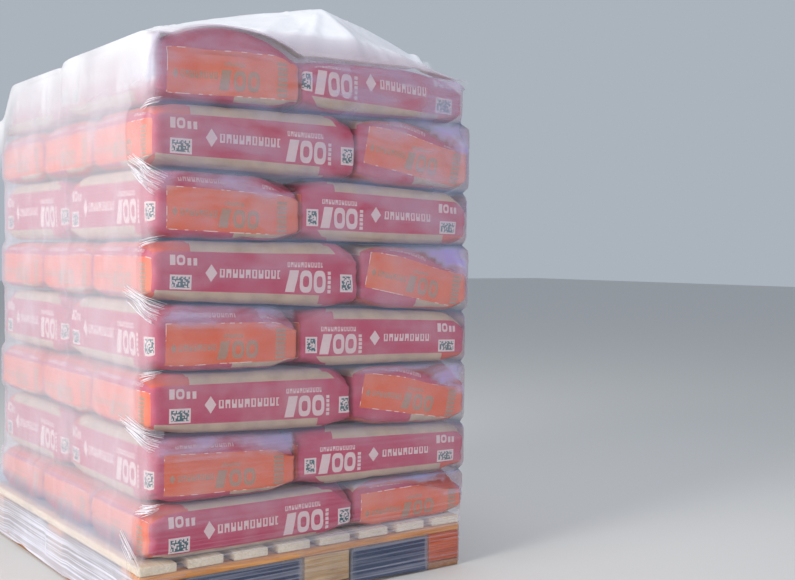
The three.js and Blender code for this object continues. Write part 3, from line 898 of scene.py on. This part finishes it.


# The stretch film: one skin wound round the stack, drawn in at the joints between layers, and spread over the
# pallet below. Its points carry how hazy, streaky and crinkled it is, and where it lies over flaps, grooves or fork
# pockets, with the painted light there: a sky reflection over flaps and grooves, a shadow under the left overhang
# and dark shade over the fork pockets.

filmShape = {
    "straight": (80, 96),  # cells across a short and a long side
    "corner": 9,  # cells round a corner
    "skirtRows": 19,
    "flareRows": 9,
    "layerRows": 13,
    "stackOffset": 0.0030,
    "stackCorner": 0.032,
    "belly": 0.0055,  # it stands this much further out between the corners
    "bellyReach": 0.09,
    "dip": 0.0065,
    "dipHeight": 0.024,
    "sunkenHeight": 0.030,  # more height for the dip over a fallen corner
    "wave": 0.0007,
    "bridge": 0.05,  # the height over which it passes from one layer's ends to the next layer's
    "palletOffset": 0.0025,
    "palletCorner": 0.004,
    "deckEdge": 0.002,  # over the deck, where the skirt ends
    "flare": 0.070,  # it leaves the stack this far above the deck
    "foot": 0.004,
    "ragged": 0.010,
    "pocketSag": 0.014,
    # where the pockets open, on both sides of their middle: on the front and back, and on the other two sides
    "pockets": (((0.388, 0.375), (0.074, 0.088), 0.04), ((0.48, 0.44), (0.06, 0.10), 0)),
    # how far inward, how far under the top and on what share of the crown each row over the shoulders runs
    "shoulders": (
        (0.000, 0.018, 0.15), (0.003, 0.012, 0.32), (0.008, 0.006, 0.55), (0.018, 0.001, 0.80), (0.034, -0.004, 1.0),
    ),
    # the flap values below paint a lavender sky reflection on the film over the sacks' flaps
    "flapDrop": 0.056,  # how far down the tinted flap over an end reaches,
    "flapFall": 0.075,  # how much further at a fallen corner,
    "flapRise": 0.040,  # and how much less at the flap's other side
    "flapTint": (0.14, 0.52, 0.34),  # over long sides, more over ends, and more at a fallen corner
    "bodyTint": (0.04, 0.04, 0.27),  # under the flaps: everywhere, more over ends, and more higher up
    "topTint": (0.44, 0.12),  # in the top layer, and less over ends
    # left, right, front and back
    "sideHaze": (0, 0.16, 0.025, 0.22),
    "skirtHaze": (0.36, 0, -0.75, 0),  # as a share more or less
    "streaks": (0.012, 0.06, 0.03, 0.06),
    "skirtStreaks": (0.55, 0.30, 0.16, 0.30),
    "crinkles": (0, 0.08, 0, 0.08),
    # the left side's haze: the film's own milkiness and a painted glare of the light that falls on that side
    "leftHazeAndGlare": 0.41,
    "nearHaze": 0.26,  # on the left, near the corner
    "hazeSteps": ((-0.08, -1, 0), (0.10, 1.10, 1.20), (0.24, 1.28, 1.36)),  # a change, and between what heights
    "clearHaze": (0.06, 0.24, 0.12),  # beside the corner: in all, more over long sides, and more over high ends
    "topCornerHaze": 0.30,
    "clearBand": (0.040, 0.056),  # of the left side beside the near corner, and how far it is from clear
    "nearBand": (0.065, 0.130, 0.020),  # below and in the upper rows, and its width
}


def ringPlan():
    # For each column of the film: its share of the straight reach, and its angle. It starts at the back right.
    across, deep = filmShape["straight"]
    corner = filmShape["corner"]
    shares, angles = [], []
    sides = (((1, 1), (-1, 1), across), ((-1, 1), (-1, -1), deep), ((-1, -1), (1, -1), across), ((1, -1), (1, 1), deep))
    for quarter, (start, stop, count) in enumerate(sides):
        for turn, t in [(i / corner, 0) for i in range(corner)] + [(1, i / count) for i in range(count)]:
            shares.append((start[0] + (stop[0] - start[0]) * t, start[1] + (stop[1] - start[1]) * t))
            angles.append((quarter + turn) * math.pi / 2)
    return np.array(shares), np.array(angles)


def ringPoints(plan, centre, half, radius):
    shares, angles = plan
    x = centre[0] + shares[:, 0] * (half[0] - radius) + radius * np.cos(angles)
    y = centre[1] + shares[:, 1] * (half[1] - radius) + radius * np.sin(angles)
    return x, y


def filmMaterial():
    # Clear stretch film in several turns: milky where the light rakes it, with a painted lavender sky reflection over
    # the sacks' flaps, a painted blue sky reflection over shaded gaps, a painted shadow under the left overhang and
    # painted dark shade over the fork pockets, and with drawn-out streaks and sharp folds.
    material, tree = newMaterial("stretch film, polyethylene")[:2]
    wound = addNode(tree, "ShaderNodeAttribute", {"attribute_name": "wound"}, "Vector")
    haze, streak, crinkle, flap, gap, pocket = (
        addNode(tree, "ShaderNodeAttribute", {"attribute_name": name}, "Fac")
        for name in ("haze", "streak", "crinkle", "flap", "gap", "pocket")
    )
    noises, shares = {}, {}
    for name, kind, scale, detail, distortion, low, high in (
        ("fine", "FBM", (1.6, 150.0, 1.0), 3.0, 0.12, 0.45, 0.72),
        ("cloud", "FBM", (7.0, 18.0, 1.0), 4.0, 0.35, 0.32, 0.64),
        ("brush", "FBM", (9.0, 5.0, 1.0), 3.0, 0.5, 0.50, 0.68),
        ("fold", "RIDGED_MULTIFRACTAL", (5.0, 34.0, 1.0), 2.0, 1.6, 1.15, 1.6),
    ):
        stretched = addNode(tree, "ShaderNodeMapping", {"Scale": scale, "Vector": wound})
        texture = {"noise_type": kind, "Scale": 1.0, "Detail": detail, "Distortion": distortion, "Vector": stretched}
        noises[name] = addNode(tree, "ShaderNodeTexNoise", texture)
        spread = {"Value": noises[name], "From Min": low, "From Max": high}
        shares[name] = addNode(tree, "ShaderNodeMapRange", spread)
    # painted reflection: lavender patches of sky sheen over the flaps
    sheenPatch = ("MULTIPLY", flap, shares["cloud"])
    # how much of what lies behind each part of the film hides
    veil = ("MULTIPLY_ADD", shares["brush"], 0.14, 0.95)
    torn = ("MULTIPLY_ADD", shares["fine"], -0.45, 0.72)
    parts = ((haze, veil), (streak, shares["fine"]), (crinkle, shares["fold"]), (sheenPatch, 0.74), (gap, 0.26))
    total = 0.0
    for part, texture in (*parts, (pocket, torn)):
        total = ("MULTIPLY_ADD", part, texture, total)
    height = ("MULTIPLY_ADD", noises["fine"], 0.3, noises["fold"])
    bump = addNode(tree, "ShaderNodeBump", {"Strength": 0.25, "Distance": 0.0018, "Height": height})
    rim = addNode(tree, "ShaderNodeFresnel", {"IOR": 1.30, "Normal": bump})
    alpha = ("MINIMUM", ("MULTIPLY_ADD", rim, 0.45, total), 1.0)
    # painted shade: the film over the fork pockets turns dark blue for the shaded inside of the pallet
    deep = ("MULTIPLY", ("MULTIPLY", pocket, torn), 1.35)
    # painted light: lavender sky reflection over the flaps, blue sky reflection and shadow over gaps, dark shade over
    # the fork pockets
    colour = layered(tree, "EDEDFB", (sheenPatch, "B2A4DC"), (gap, "5F84AE"), (deep, "33486A"))
    closeMaterial(tree, {"Base Color": colour, "Alpha": alpha, "Normal": bump, "Roughness": 0.26, "IOR": 1.45})
    return material


def endShows(layer, x, normalX, normalY):
    # 1 where the film lies over the ends of sacks, 0 over their long sides.
    front = x > stackHalfX - stack["sackWidth"] if threeOnLeft(layer) else x < stack["sackWidth"] - stackHalfX
    left, right = threeOnLeft(layer), not threeOnLeft(layer)
    return np.where(np.abs(normalY) > np.abs(normalX), front, np.where(normalX < 0, left, right)).astype(float)


def filmRows():
    # Each row of the film holds x, y, z, gap, flap, pocket, skirt and side for every column. Gap carries a
    # painted blue sky reflection over the grooves and a painted shadow under the left overhang, flap a painted
    # lavender sky reflection over the flaps, and pocket painted dark shade over the fork pockets. Skirt is 1 below
    # the deck, and side is 1 on the left where the film lies over long sides of sacks.
    shape = filmShape
    plan = ringPlan()
    none = np.zeros(len(plan[1]))
    normalX, normalY = np.cos(plan[1]), np.sin(plan[1])
    left, right, front, back = facing(normalX, normalY, 1)
    facesY = np.abs(normalY) > np.abs(normalX)
    stackHalf = (stackHalfX + shape["stackOffset"], stackHalfY + shape["stackOffset"])
    low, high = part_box("deck_board_1")[0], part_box("deck_board_8")[1]
    palletCentre = ((low.x + high.x) / 2, (low.y + high.y) / 2)
    palletHalf = tuple((b - a) / 2 + shape["palletOffset"] for a, b in ((low.x, high.x), (low.y, high.y)))
    stackX, stackY = ringPoints(plan, stack["middle"], stackHalf, shape["stackCorner"])
    palletX, palletY = ringPoints(plan, palletCentre, palletHalf, shape["palletCorner"])
    fromX, fromY = stackX - stack["middle"][0], stackY - stack["middle"][1]
    insideX, insideY = stackHalfX - np.abs(fromX), stackHalfY - np.abs(fromY)
    belly = shape["belly"] * smoothStep(0.0, shape["bellyReach"], np.maximum(np.where(facesY, insideX, insideY), 0))
    flat, onEnd, onFallen = shape["flapTint"]
    allOver, overEnds, higher = shape["bodyTint"]
    topTint, lessOnEnds = shape["topTint"]
    # painted reflection: the lavender sky sheen over the top layer
    topSheen = (topTint - lessOnEnds * endShows(layerCount - 1, fromX, normalX, normalY)) * (front + back)
    edge = stack["deckTop"] + shape["deckEdge"]
    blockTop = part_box("block_left_front")[1].z
    rows = []

    def noiseAt(x, y, z, cell, seed):
        return valueNoise(stacked(x, y, z + none), cell, seed)

    def outward(layer):
        return left * stack["outLeft"][layer] + right * stack["outRight"][layer]

    # the skirt, from the foot up to the deck's edge
    openings = []
    for place, (outer, inner, middle) in zip((palletX, palletY), shape["pockets"]):
        openings.append(np.minimum(smoothStep(*outer, np.abs(place)), smoothStep(*inner, np.abs(place - middle))))
    opening = np.where(np.abs(normalY) > 0.9, openings[0], np.where(np.abs(normalX) > 0.9, openings[1], 0))
    foot = shape["foot"] + shape["ragged"] * (0.5 + 0.5 * noiseAt(palletX, palletY, 0, 0.07, 31))
    for t in np.linspace(0, 1, shape["skirtRows"]):
        z = foot + (edge - foot) * t
        sag = shape["pocketSag"] * math.sin(math.pi * t) * (0.6 + 0.4 * noiseAt(palletX, palletY, z, 0.16, 32))
        pull = sag * opening * np.clip(1.3 - t, 0, 1)
        # painted shade: how much dark blue stands for the shaded inside of the pallet behind the film over the fork
        # pockets
        pocket = (front + 0.7 * back) * opening * smoothStep(blockTop + 0.004, blockTop - 0.008, z)
        skirt = 1 - left * smoothStep(blockTop + 0.010, blockTop + 0.022, z)
        place = palletX - normalX * pull, palletY - normalY * pull, z
        # painted reflection: a little blue gap tint on the left skirt
        rows.append((*place, 0.08 * left * skirt, none, pocket, skirt, none))
    # from the deck's edge up to the stack, with a painted shadow under the left overhang, carried as gap
    for t in np.linspace(0, 1, shape["flareRows"])[1:-1]:
        z = edge + (shape["flare"] - shape["deckEdge"]) * t + none
        out = (outward(0) + belly) * t + 0.002 * noiseAt(stackX, stackY, z, 0.03, 38)
        x, y = palletX + (stackX - palletX) * t + normalX * out, palletY + (stackY - palletY) * t + normalY * out
        shadow = 0.55 * left * smoothStep(0.0, 0.3, t) * smoothStep(1.0, 0.5, t)
        rows.append((x, y, z, shadow, none, none, (1 - left) * (1 - t), none))
    # round the layers
    for layer in range(layerCount):
        low, high = jointHeight(layer, fromX, fromY), jointHeight(layer + 1, fromX, fromY)
        ends = endShows(layer, fromX, normalX, normalY)
        sunk = np.where(facesY, front * smoothStep(0.26, 0.0, stackHalfX - fromX), 0)
        sunk = np.where(normalX > 0.7, smoothStep(0.13, 0.0, stackHalfY + fromY), sunk) * threeOnLeft(layer)
        slope = facesY * threeOnLeft(layer) * (fromX > 0)
        fallen = slope * smoothStep(0.30, 0.06, stackHalfX - fromX)
        reach = shape["flapFall"] * smoothStep(0.20, 0.0, stackHalfX - fromX) - shape["flapRise"]
        reach = shape["flapDrop"] + slope * reach
        for row in range(shape["layerRows"]):
            share = row / shape["layerRows"]
            if layer == layerCount - 1 and share > 0.85:
                continue
            start = low if layer else stack["deckTop"] + shape["flare"]
            z = start + (high - start) * share
            below, above = (z - low if layer else none + 1), high - z
            hollow = fallen if row else sunk
            tall = shape["dipHeight"] + shape["sunkenHeight"] * hollow
            dip = np.maximum(np.exp(-(below / shape["dipHeight"]) ** 2), (1 + hollow) * np.exp(-(above / tall) ** 2))
            slack = 0.75 + 0.4 * noiseAt(stackX, stackY, z, 0.12, 33) + 1.8 * right
            wave = shape["wave"] * noiseAt(stackX * 0.4, stackY * 0.4, z, 0.018, 34)
            wave = wave + shape["wave"] * noiseAt(stackX, stackY, z, 0.05, 35)
            bridge = np.clip(np.minimum(below, above) / shape["bridge"], 0, 1) * 0.5 + 0.5
            neighbour = layer - 1 if layer and share < 0.5 else min(layer + 1, layerCount - 1)
            out = outward(layer) * bridge + outward(neighbour) * (1 - bridge) - shape["dip"] * dip * slack
            # it never cuts into the sacks' rounded edges
            edge = np.clip(np.minimum(below, above - 0.05 * hollow) / sackShape["sideTop"], 0, 1)
            hug = outward(layer) - sackShape["sideReach"] * (1 - np.sqrt(1 - (1 - edge) ** 2))
            bellied = 1 - (2 * share - 1) ** 2 if layer or share > 0.5 else 1
            out = np.maximum(out, hug) + belly * bellied + wave
            # painted reflection: flap tints the film lavender over the flaps, where it mirrors the sky
            flap = smoothStep(reach + 0.006, reach - 0.006, above) * (flat + (onEnd + onFallen * fallen) * ends)
            body = allOver + overEnds * ends + higher * smoothStep(0.5, 1.3, z)
            flap = np.maximum(flap, body) * (1 - left) if layer < layerCount - 1 else topSheen
            # painted reflection: gap tints the film blue where it spans the shaded grooves at the joints
            gap = 0.75 * (np.exp(-(above / 0.010) ** 2) + np.exp(-(below / 0.007) ** 2)) * (1 - left)
            side = none if threeOnLeft(layer) else left
            rows.append((stackX + normalX * out, stackY + normalY * out, z, gap, flap, none, none, side))
    # over the shoulders of the top layer
    top = jointHeight(layerCount, fromX, fromY)
    for inward, drop, share in shape["shoulders"]:
        halves = stackHalfX - 0.06, stackHalfY - max(0.02, inward + 0.002)
        held = (np.clip(part, -half, half) for part, half in zip((fromX, fromY), halves))
        z = top - drop + crownHeight(*held) * share
        rows.append((stackX - normalX * inward, stackY - normalY * inward, z, none, topSheen, none, none, left))
    steps = np.hypot(np.diff(stackX, append=stackX[0]), np.diff(stackY, append=stackY[0]))
    arc = np.concatenate([[0], np.cumsum(steps)])
    return [np.array(part) for part in zip(*rows)], normalX, normalY, arc


filmGrid, filmNormalX, filmNormalY, filmArc = filmRows()


def makeFilm():
    shape = filmShape
    x, y, z, gap, flap, pocket, skirt, side = filmGrid
    points = np.stack([x, y, z], axis=2)
    sides = facing(filmNormalX, filmNormalY, 2)
    left, right, front, back = sides
    # The left side is hazy, partly from the film's own milkiness and partly from a painted glare of the light that
    # falls on that side, and clears in two steps towards the near corner. The two upper layers start at about 1.12 and
    # 1.32 m.
    fromCorner = y - y.min() + 0.010 * valueNoise(points * (0, 0, 1), 0.10, 36)
    lowBand, highBand, width = shape["nearBand"]
    band = lowBand + (highBand - lowBand) * smoothStep(1.08, 1.14, z)
    clear, near = smoothStep(*shape["clearBand"], fromCorner), smoothStep(0, width, fromCorner - band)
    near = np.maximum(near, smoothStep(1.30, 1.36, z))
    full = shape["leftHazeAndGlare"] * (1 + sum(more * smoothStep(low, high, z) for more, low, high in shape["hazeSteps"]))
    full = full * (1 - 0.06 * side)
    inAll, overSides, overEnds = shape["clearHaze"]
    least = inAll + overSides * side + overEnds * (1 - side) * smoothStep(1.10, 1.18, z)
    haze = left * (least + (np.maximum(shape["nearHaze"], least) - least) * clear + (full - shape["nearHaze"]) * near)
    haze += bySide(sides, shape["sideHaze"])
    haze += front * (0.03 + 0.07 * smoothStep(0.75, 1.1, z)) * smoothStep(0.10, 0.45, x)
    haze *= 1 + 0.16 * valueNoise(points * (1, 1, 1.6), 0.13, 37)
    haze += shape["topCornerHaze"] * left * smoothStep(1.26, 1.36, z) * smoothStep(0.25, 0.02, fromCorner)
    haze *= 1 + skirt * bySide(sides, shape["skirtHaze"])
    # a hazy strip before the deck boards' ends
    haze += 0.20 * front * smoothStep(0.118, 0.126, z) * smoothStep(0.172, 0.160, z) * smoothStep(-0.7, 0.1, x)
    streak = bySide(sides, shape["streaks"]) + 0.05 * front * smoothStep(0.60, 0.25, z)
    streak += skirt * bySide(sides, shape["skirtStreaks"])
    crinkle = bySide(sides, shape["crinkles"]) + 0.6 * left * smoothStep(0.13, 0.02, fromCorner)
    crinkle += front * (0.12 * flap + 0.35 * smoothStep(0.47, 0.51, x))
    rowCount, columns = x.shape
    quads = sheetQuads(rowCount, columns, True)
    film = makeMesh("stretch_film_skin", points.reshape(-1, 3), quads, [filmMaterial()])
    levels = {"haze": haze, "streak": streak, "crinkle": crinkle, "flap": flap, "gap": gap, "pocket": pocket}
    for name, values in levels.items():
        addValues(film, name, np.clip(values, 0, 1).ravel())
    # the distance wound so far and the height, for the streaks
    wound = np.zeros((rowCount - 1, columns, 4, 3))
    closed = np.concatenate([z, z[:, :1]], axis=1)
    for corner, (up, after) in enumerate(((0, 0), (0, 1), (1, 1), (1, 0))):
        wound[:, :, corner, 0] = filmArc[after:after + columns]
        wound[:, :, corner, 1] = closed[up:up + rowCount - 1, after:after + columns]
    addValues(film, "wound", wound.reshape(-1, 3), "CORNER")
    handOver(film, "stretch_film")


makeFilm()
print("stretch film made")


# Where the film passes from a layer that stands out to one that stands back, it gathers into taut white strands
# at the corner.

strandShape = {
    "thin": 0.0005,
    "thick": 0.0013,
    "fine": 0.0009,  # the thickest at the other joints
    "sides": 5,
    "points": 9,
    "lift": 0.0012,  # over the film
    # how many there are, between what distances from the near corner they start, at what height over the joint and
    # over what more, at what distance and over what more they end, how far that strays, and their ends' heights
    "kinds": {
        "fan": (26, (-0.17, -0.10), (0.002, 0.050), (0.0, 0.034), 0.008, (-0.022, 0.052)),
        "tuft": (10, (-0.060, -0.020), (-0.022, 0.026), (0.0, 0.026), 0.010, (-0.008, 0.020)),
        "foot": (12, (-0.14, -0.10), (0.030, 0.040), (-0.030, 0.045), 0.006, (-0.022, 0.020)),
    },
    "climb": (0.04, -0.018, -0.050),  # what the fans' starts, heights and ends' heights gain from joint to joint 6
}


def onFilm(arc, height, lift):
    # The place on the film at that distance round it and at that height.
    column = np.interp(arc, filmArc, np.arange(len(filmArc)))
    whole = int(column)
    part = column - whole
    columns = filmGrid[0].shape[1]
    place = np.zeros(3)
    for index, share in ((whole % columns, 1 - part), ((whole + 1) % columns, part)):
        x, y, z = (filmGrid[axis][:, index] for axis in range(3))
        place += share * np.array([np.interp(height, z, x), np.interp(height, z, y), height])
        place += share * lift * np.array([filmNormalX[index], filmNormalY[index], 0])
    return place


def strandMaterial():
    # Gathered film: many layers of it, white and shiny.
    material, tree = newMaterial("stretch film, gathered")[:2]
    closeMaterial(tree, {"Base Color": linearColour("F3F2FA"), "Roughness": 0.25, "IOR": 1.5, "Alpha": 0.88})
    return material


def strandTree():
    # Follows every line of the mesh with a thin tube.
    tree, given = newTree("film strands", Paths="Geometry", Sides="Int", Film="Material")
    curve = addNode(tree, "GeometryNodeMeshToCurve", {0: given["Paths"]})
    thick = addNode(tree, "GeometryNodeInputNamedAttribute", {"data_type": "FLOAT", "Name": "thickness"})
    profile = addNode(tree, "GeometryNodeCurvePrimitiveCircle", {"Resolution": given["Sides"], "Radius": 1.0})
    swept = {"Curve": curve, "Profile Curve": profile, "Scale": thick, "Fill Caps": True}
    return closeTree(tree, addNode(tree, "GeometryNodeCurveToMesh", swept), given["Film"])


def makeStrands():
    shape = strandShape
    draw = np.random.default_rng(14)
    across, deep = filmShape["straight"]
    corner = filmShape["corner"]
    cornerArc = filmArc[corner + across + corner + deep + corner // 2]
    points, edges, thickness = [], [], []
    for joint in range(layerCount):
        base = jointHeight(joint, np.array([-stackHalfX]), np.array([-stackHalfY]))[0]
        kind = "foot" if joint == 0 else "fan" if threeOnLeft(joint) else "tuft"
        count, starts, (low, rise), (first, spread), stray, (endLow, endRise) = shape["kinds"][kind]
        count *= 2 if joint == 1 else 1
        climb = [gain * joint / 6 if kind == "fan" else 0 for gain in shape["climb"]]
        for i in range(count):
            t = (i + draw.uniform(-0.3, 0.3)) / count
            start = np.array([draw.uniform(*starts) + climb[0], base + low + climb[1] + rise * t])
            stop = np.array([first + spread * t + draw.uniform(-stray, stray), base + endLow + climb[2] + endRise * t])
            most = draw.uniform(shape["thin"], shape["thick"] if kind == "fan" or joint == 1 else shape["fine"])
            ends = [onFilm(cornerArc + arc, height, shape["lift"]) for arc, height in (start, stop)]
            for step in range(shape["points"]):
                share = step / (shape["points"] - 1)
                arc, height = start + (stop - start) * share
                lying = onFilm(cornerArc + arc, height, shape["lift"])
                # taut over a hollow of the film
                outward = onFilm(cornerArc + arc, height, shape["lift"] + 1) - lying
                taut = ends[0] + (ends[1] - ends[0]) * share
                points.append(lying + outward * max(0, np.dot(taut - lying, outward)))
                thickness.append(most * (0.35 + 0.65 * math.sin(math.pi * min(1.15 * share + 0.1, 1))))
                if step:
                    edges.append((len(points) - 2, len(points) - 1))
    mesh = bpy.data.meshes.new("strand paths")
    mesh.from_pydata(points, edges, [])
    mesh.attributes.new("thickness", "FLOAT", "POINT").data.foreach_set("value", thickness)
    inputs = {"Sides": shape["sides"], "Film": strandMaterial()}
    handOver(grow("stretch_film_strands", strandTree(), inputs, start=mesh), "stretch_film")


makeStrands()
print("film strands made")


# The cover sheet: thin milky plastic, tented over the front of the stack, with creases that run from its peak.

coverShape = {
    "cells": (132, 150),
    "topShare": 0.80,  # of the cells from the middle outward that lie on top
    "clearance": 0.0135,
    "rightTuck": 0.012,  # it lies closer to the stack on the right
    "corner": 0.030,
    "rise": 0.040,
    "rimShare": 0.25,
    "tentRise": 0.152,
    "peak": (0.140, -0.385),
    "tentBack": 0.430,
    "rightHold": 0.34,  # how much of the tent's height is left near the right edge
    "rightTip": 0.20,  # and how much more at that edge
    "leftRise": 0.026,  # the sheet stands higher over the front of the left side
    "overSacks": (0.007, 0.004),  # how far over the sacks it lies, and how much less at the rim
    "held": (0.05, 0.022),  # how far inside the stack's sides the crown is read for the rim
    "crumple": 0.0016,
    "folds": 0.006,
    "pleats": 0.005,
    "flutter": 0.002,
    # left, right, front and back
    "skirt": (0.24, 0.040, 0.014, 0.14),
    "edgeStart": (0.84, 0.92, 0.88, 0.84),
    "edgeVeil": (0.70, 0.12, 0.34, 0.45),  # how milky it is at the edge of the top
    "skirtVeil": (0.0, 0.02, 0.0, 0.20),
    "topVeil": 0.84,
}


def coverMaterial():
    # Loose polyethylene sheet: milky, with the sacks showing through near its edges, bright along its creases, and with
    # a painted pink glow near its front rim for light from the crimson sacks behind it.
    material, tree, place = newMaterial("cover sheet, milky polyethylene")
    veil, blush = (
        addNode(tree, "ShaderNodeAttribute", {"attribute_name": name}, "Fac") for name in ("veil", "blush")
    )
    ridged = {"noise_type": "RIDGED_MULTIFRACTAL", "Scale": 7.0, "Detail": 3.0, "Distortion": 1.0, "Vector": place}
    creases = addNode(tree, "ShaderNodeTexNoise", ridged)
    small = addNode(tree, "ShaderNodeTexNoise", {"Scale": 60.0, "Detail": 4.0, "Vector": place})
    cloud = addNode(tree, "ShaderNodeTexNoise", {"Scale": 5.0, "Detail": 3.0, "Vector": place})
    total = veil
    for texture, low, high, least, most in ((creases, 1.1, 1.6, 0, 0.30), (cloud, 0.3, 0.7, -0.08, 0.06)):
        share = {"Value": texture, "From Min": low, "From Max": high, "To Min": least, "To Max": most}
        total = ("MULTIPLY_ADD", addNode(tree, "ShaderNodeMapRange", share), veil, total)
    height = ("MULTIPLY_ADD", small, 0.2, creases)
    bump = addNode(tree, "ShaderNodeBump", {"Strength": 0.35, "Distance": 0.0025, "Height": height})
    # painted light: a pink glow near the front rim for light from the crimson sacks behind the sheet
    plastic = {"Base Color": layered(tree, "F3F6FC", (blush, "E6C6E2")), "Roughness": 0.38, "IOR": 1.5}
    closeMaterial(tree, {**plastic, "Alpha": total, "Normal": bump})
    return material


def hump(value, low, peak, high):
    t = np.where(value < peak, (value - low) / (peak - low), (high - value) / (high - peak))
    return np.maximum(t, 0) * (1.3 - 0.3 * t)


def coverHeight(x, y, shoulder):
    # shoulder falls to 0 at the sheet's edges, where only the right side is held up by the tent's ridge.
    shape = coverShape
    middleX, middleY = stack["middle"]
    peakX, peakY = shape["peak"]
    rightX, frontY = middleX + stackHalfX, middleY - stackHalfY
    pastPeak = np.clip((x - peakX) / (rightX - peakX), 0, 1)
    tip = shape["rightTip"] * smoothStep(0.78, 1.0, pastPeak)
    towardsRight = 1 - (1 - shape["rightHold"]) * pastPeak + tip
    acrossX = np.where(x > peakX, towardsRight, hump(x, middleX - stackHalfX, peakX, rightX))
    nearer = np.clip((y - frontY) / (peakY - frontY), 0, 1)
    slack = nearer * (1.3 - 0.3 * nearer)
    slack += (smoothStep(0.55, 0.92, nearer) - slack) * pastPeak
    acrossY = np.where(y < peakY, slack, hump(y, frontY, peakY, shape["tentBack"]))
    lift = shape["rimShare"] + (1 - shape["rimShare"]) * np.sqrt(hump(x, -0.5, 0, 0.524))
    held = np.maximum(shoulder, smoothStep(0.85, 1.0, pastPeak))
    leftward = np.clip(-x / 0.47, 0, 1) ** 0.8
    standing = 0.10 + 0.90 * smoothStep(-0.10, -0.42, y)
    edge = shape["leftRise"] * leftward * standing * np.maximum(shoulder, smoothStep(0.30, 0.50, -x))
    return shape["rise"] * lift * shoulder + shape["tentRise"] * acrossX * acrossY * held + edge


def makeCover():
    shape = coverShape
    middleX, middleY = stack["middle"]
    countX, countY = shape["cells"]
    t, s = np.meshgrid(np.linspace(-1, 1, countY + 1), np.linspace(-1, 1, countX + 1), indexing="ij")
    s, t = s.ravel(), t.ravel()
    reach = np.maximum(np.abs(s), np.abs(t))
    ring = np.minimum(reach / shape["topShare"], 1)
    fall = np.clip((reach - shape["topShare"]) / (1 - shape["topShare"]), 0, 1)
    corner = shape["corner"]
    # the sheet's plan is a rounded rectangle
    cores, beyond = [], []
    for stackHalf, part in ((stackHalfX, s), (stackHalfY, t)):
        half = stackHalf + shape["clearance"]
        square = half * part / np.maximum(reach, 1e-6)
        cores.append(np.clip(square, corner - half, half - corner))
        beyond.append(square - cores[-1])
    spoke = np.maximum(np.hypot(*beyond), 1e-9)
    outX, outY = beyond[0] / spoke, beyond[1] / spoke
    sides = facing(outX, outY, 2)
    left, right, front = sides[:3]
    planX, planY = cores[0] + corner * outX - shape["rightTuck"] * right, cores[1] + corner * outY
    x, y = middleX + planX * ring, middleY + planY * ring
    length = bySide(sides, shape["skirt"]) * (1 + 0.2 * valueNoise(stacked(planX, planY, 0.0), 0.09, 41))
    places = stacked(x, y, 0.0)
    # creases that run from the peak
    fromX, fromY = x - shape["peak"][0], y - shape["peak"][1]
    away = np.hypot(fromX, fromY)
    bearing = np.arctan2(fromY, fromX)
    around = stacked(3.0 * np.cos(bearing), 3.0 * np.sin(bearing), 0.8 * away)
    radial = creaseNoise(around, 0.55, 42, 6) - 0.25
    crumple = valueNoise(places, 0.07, 43) + 0.7 * creaseNoise(places, 0.05, 44, 6)
    slack = smoothStep(0.0, 0.12, away) * smoothStep(1.0, 0.92, ring)
    # the sheet lies on the sacks where the tent doesn't lift it
    top = jointHeight(layerCount, planX * ring, planY * ring)
    held = zip((planX * ring, planY * ring), shape["held"], (stackHalfX, stackHalfY))
    sacks = top + crownHeight(*(np.clip(part, inside - half, half - inside) for part, inside, half in held))
    over, less = shape["overSacks"]
    z = top + coverHeight(x, y, smoothStep(1.0, 0.90, ring))
    z = np.maximum(z, sacks + over - less * smoothStep(0.97, 1.0, ring))
    z += slack * (shape["folds"] * radial + shape["crumple"] * crumple)
    z = z - fall * length
    # the skirt hangs in shallow pleats
    pleats = creaseNoise(stacked(planX, planY, 0.15 * z), 0.06, 45, 3)
    flutter = shape["pleats"] * pleats + shape["flutter"] * valueNoise(stacked(x, y, z), 0.04, 46)
    stand = smoothStep(0, 0.4, fall) * flutter * (1 - 0.6 * right)
    x, y = x + outX * (stand + left * 0.004 * smoothStep(0.9, 1.0, ring)), y + outY * stand
    # how milky it is, and where a painted pink glow stands for light from the crimson sacks behind it
    edge = smoothStep(bySide(sides, shape["edgeStart"]), 1.0, ring)
    sideVeil = bySide(sides, shape["edgeVeil"]) * (1 - 0.7 * (front + right) * smoothStep(0.33, 0.50, x))
    veil = shape["topVeil"] + (sideVeil - shape["topVeil"]) * edge
    veil = veil + (bySide(sides, shape["skirtVeil"]) - veil) * smoothStep(0.0, 1.0, fall) ** 0.8
    veil = np.clip(veil * (1 + 0.22 * valueNoise(stacked(x, y, 0.7 * z), 0.12, 47) * edge), 0, 1)
    quads = sheetQuads(countY + 1, countX + 1, False)
    cover = makeMesh("cover_sheet_tented", stacked(x, y, z), quads, [coverMaterial()])
    addValues(cover, "veil", veil)
    # painted light: blush, the pink light from the sacks, near the front rim
    addValues(cover, "blush", 0.45 * front * smoothStep(0.88, 0.97, ring))
    handOver(cover, "cover_sheet")


makeCover()
print("cover sheet made")
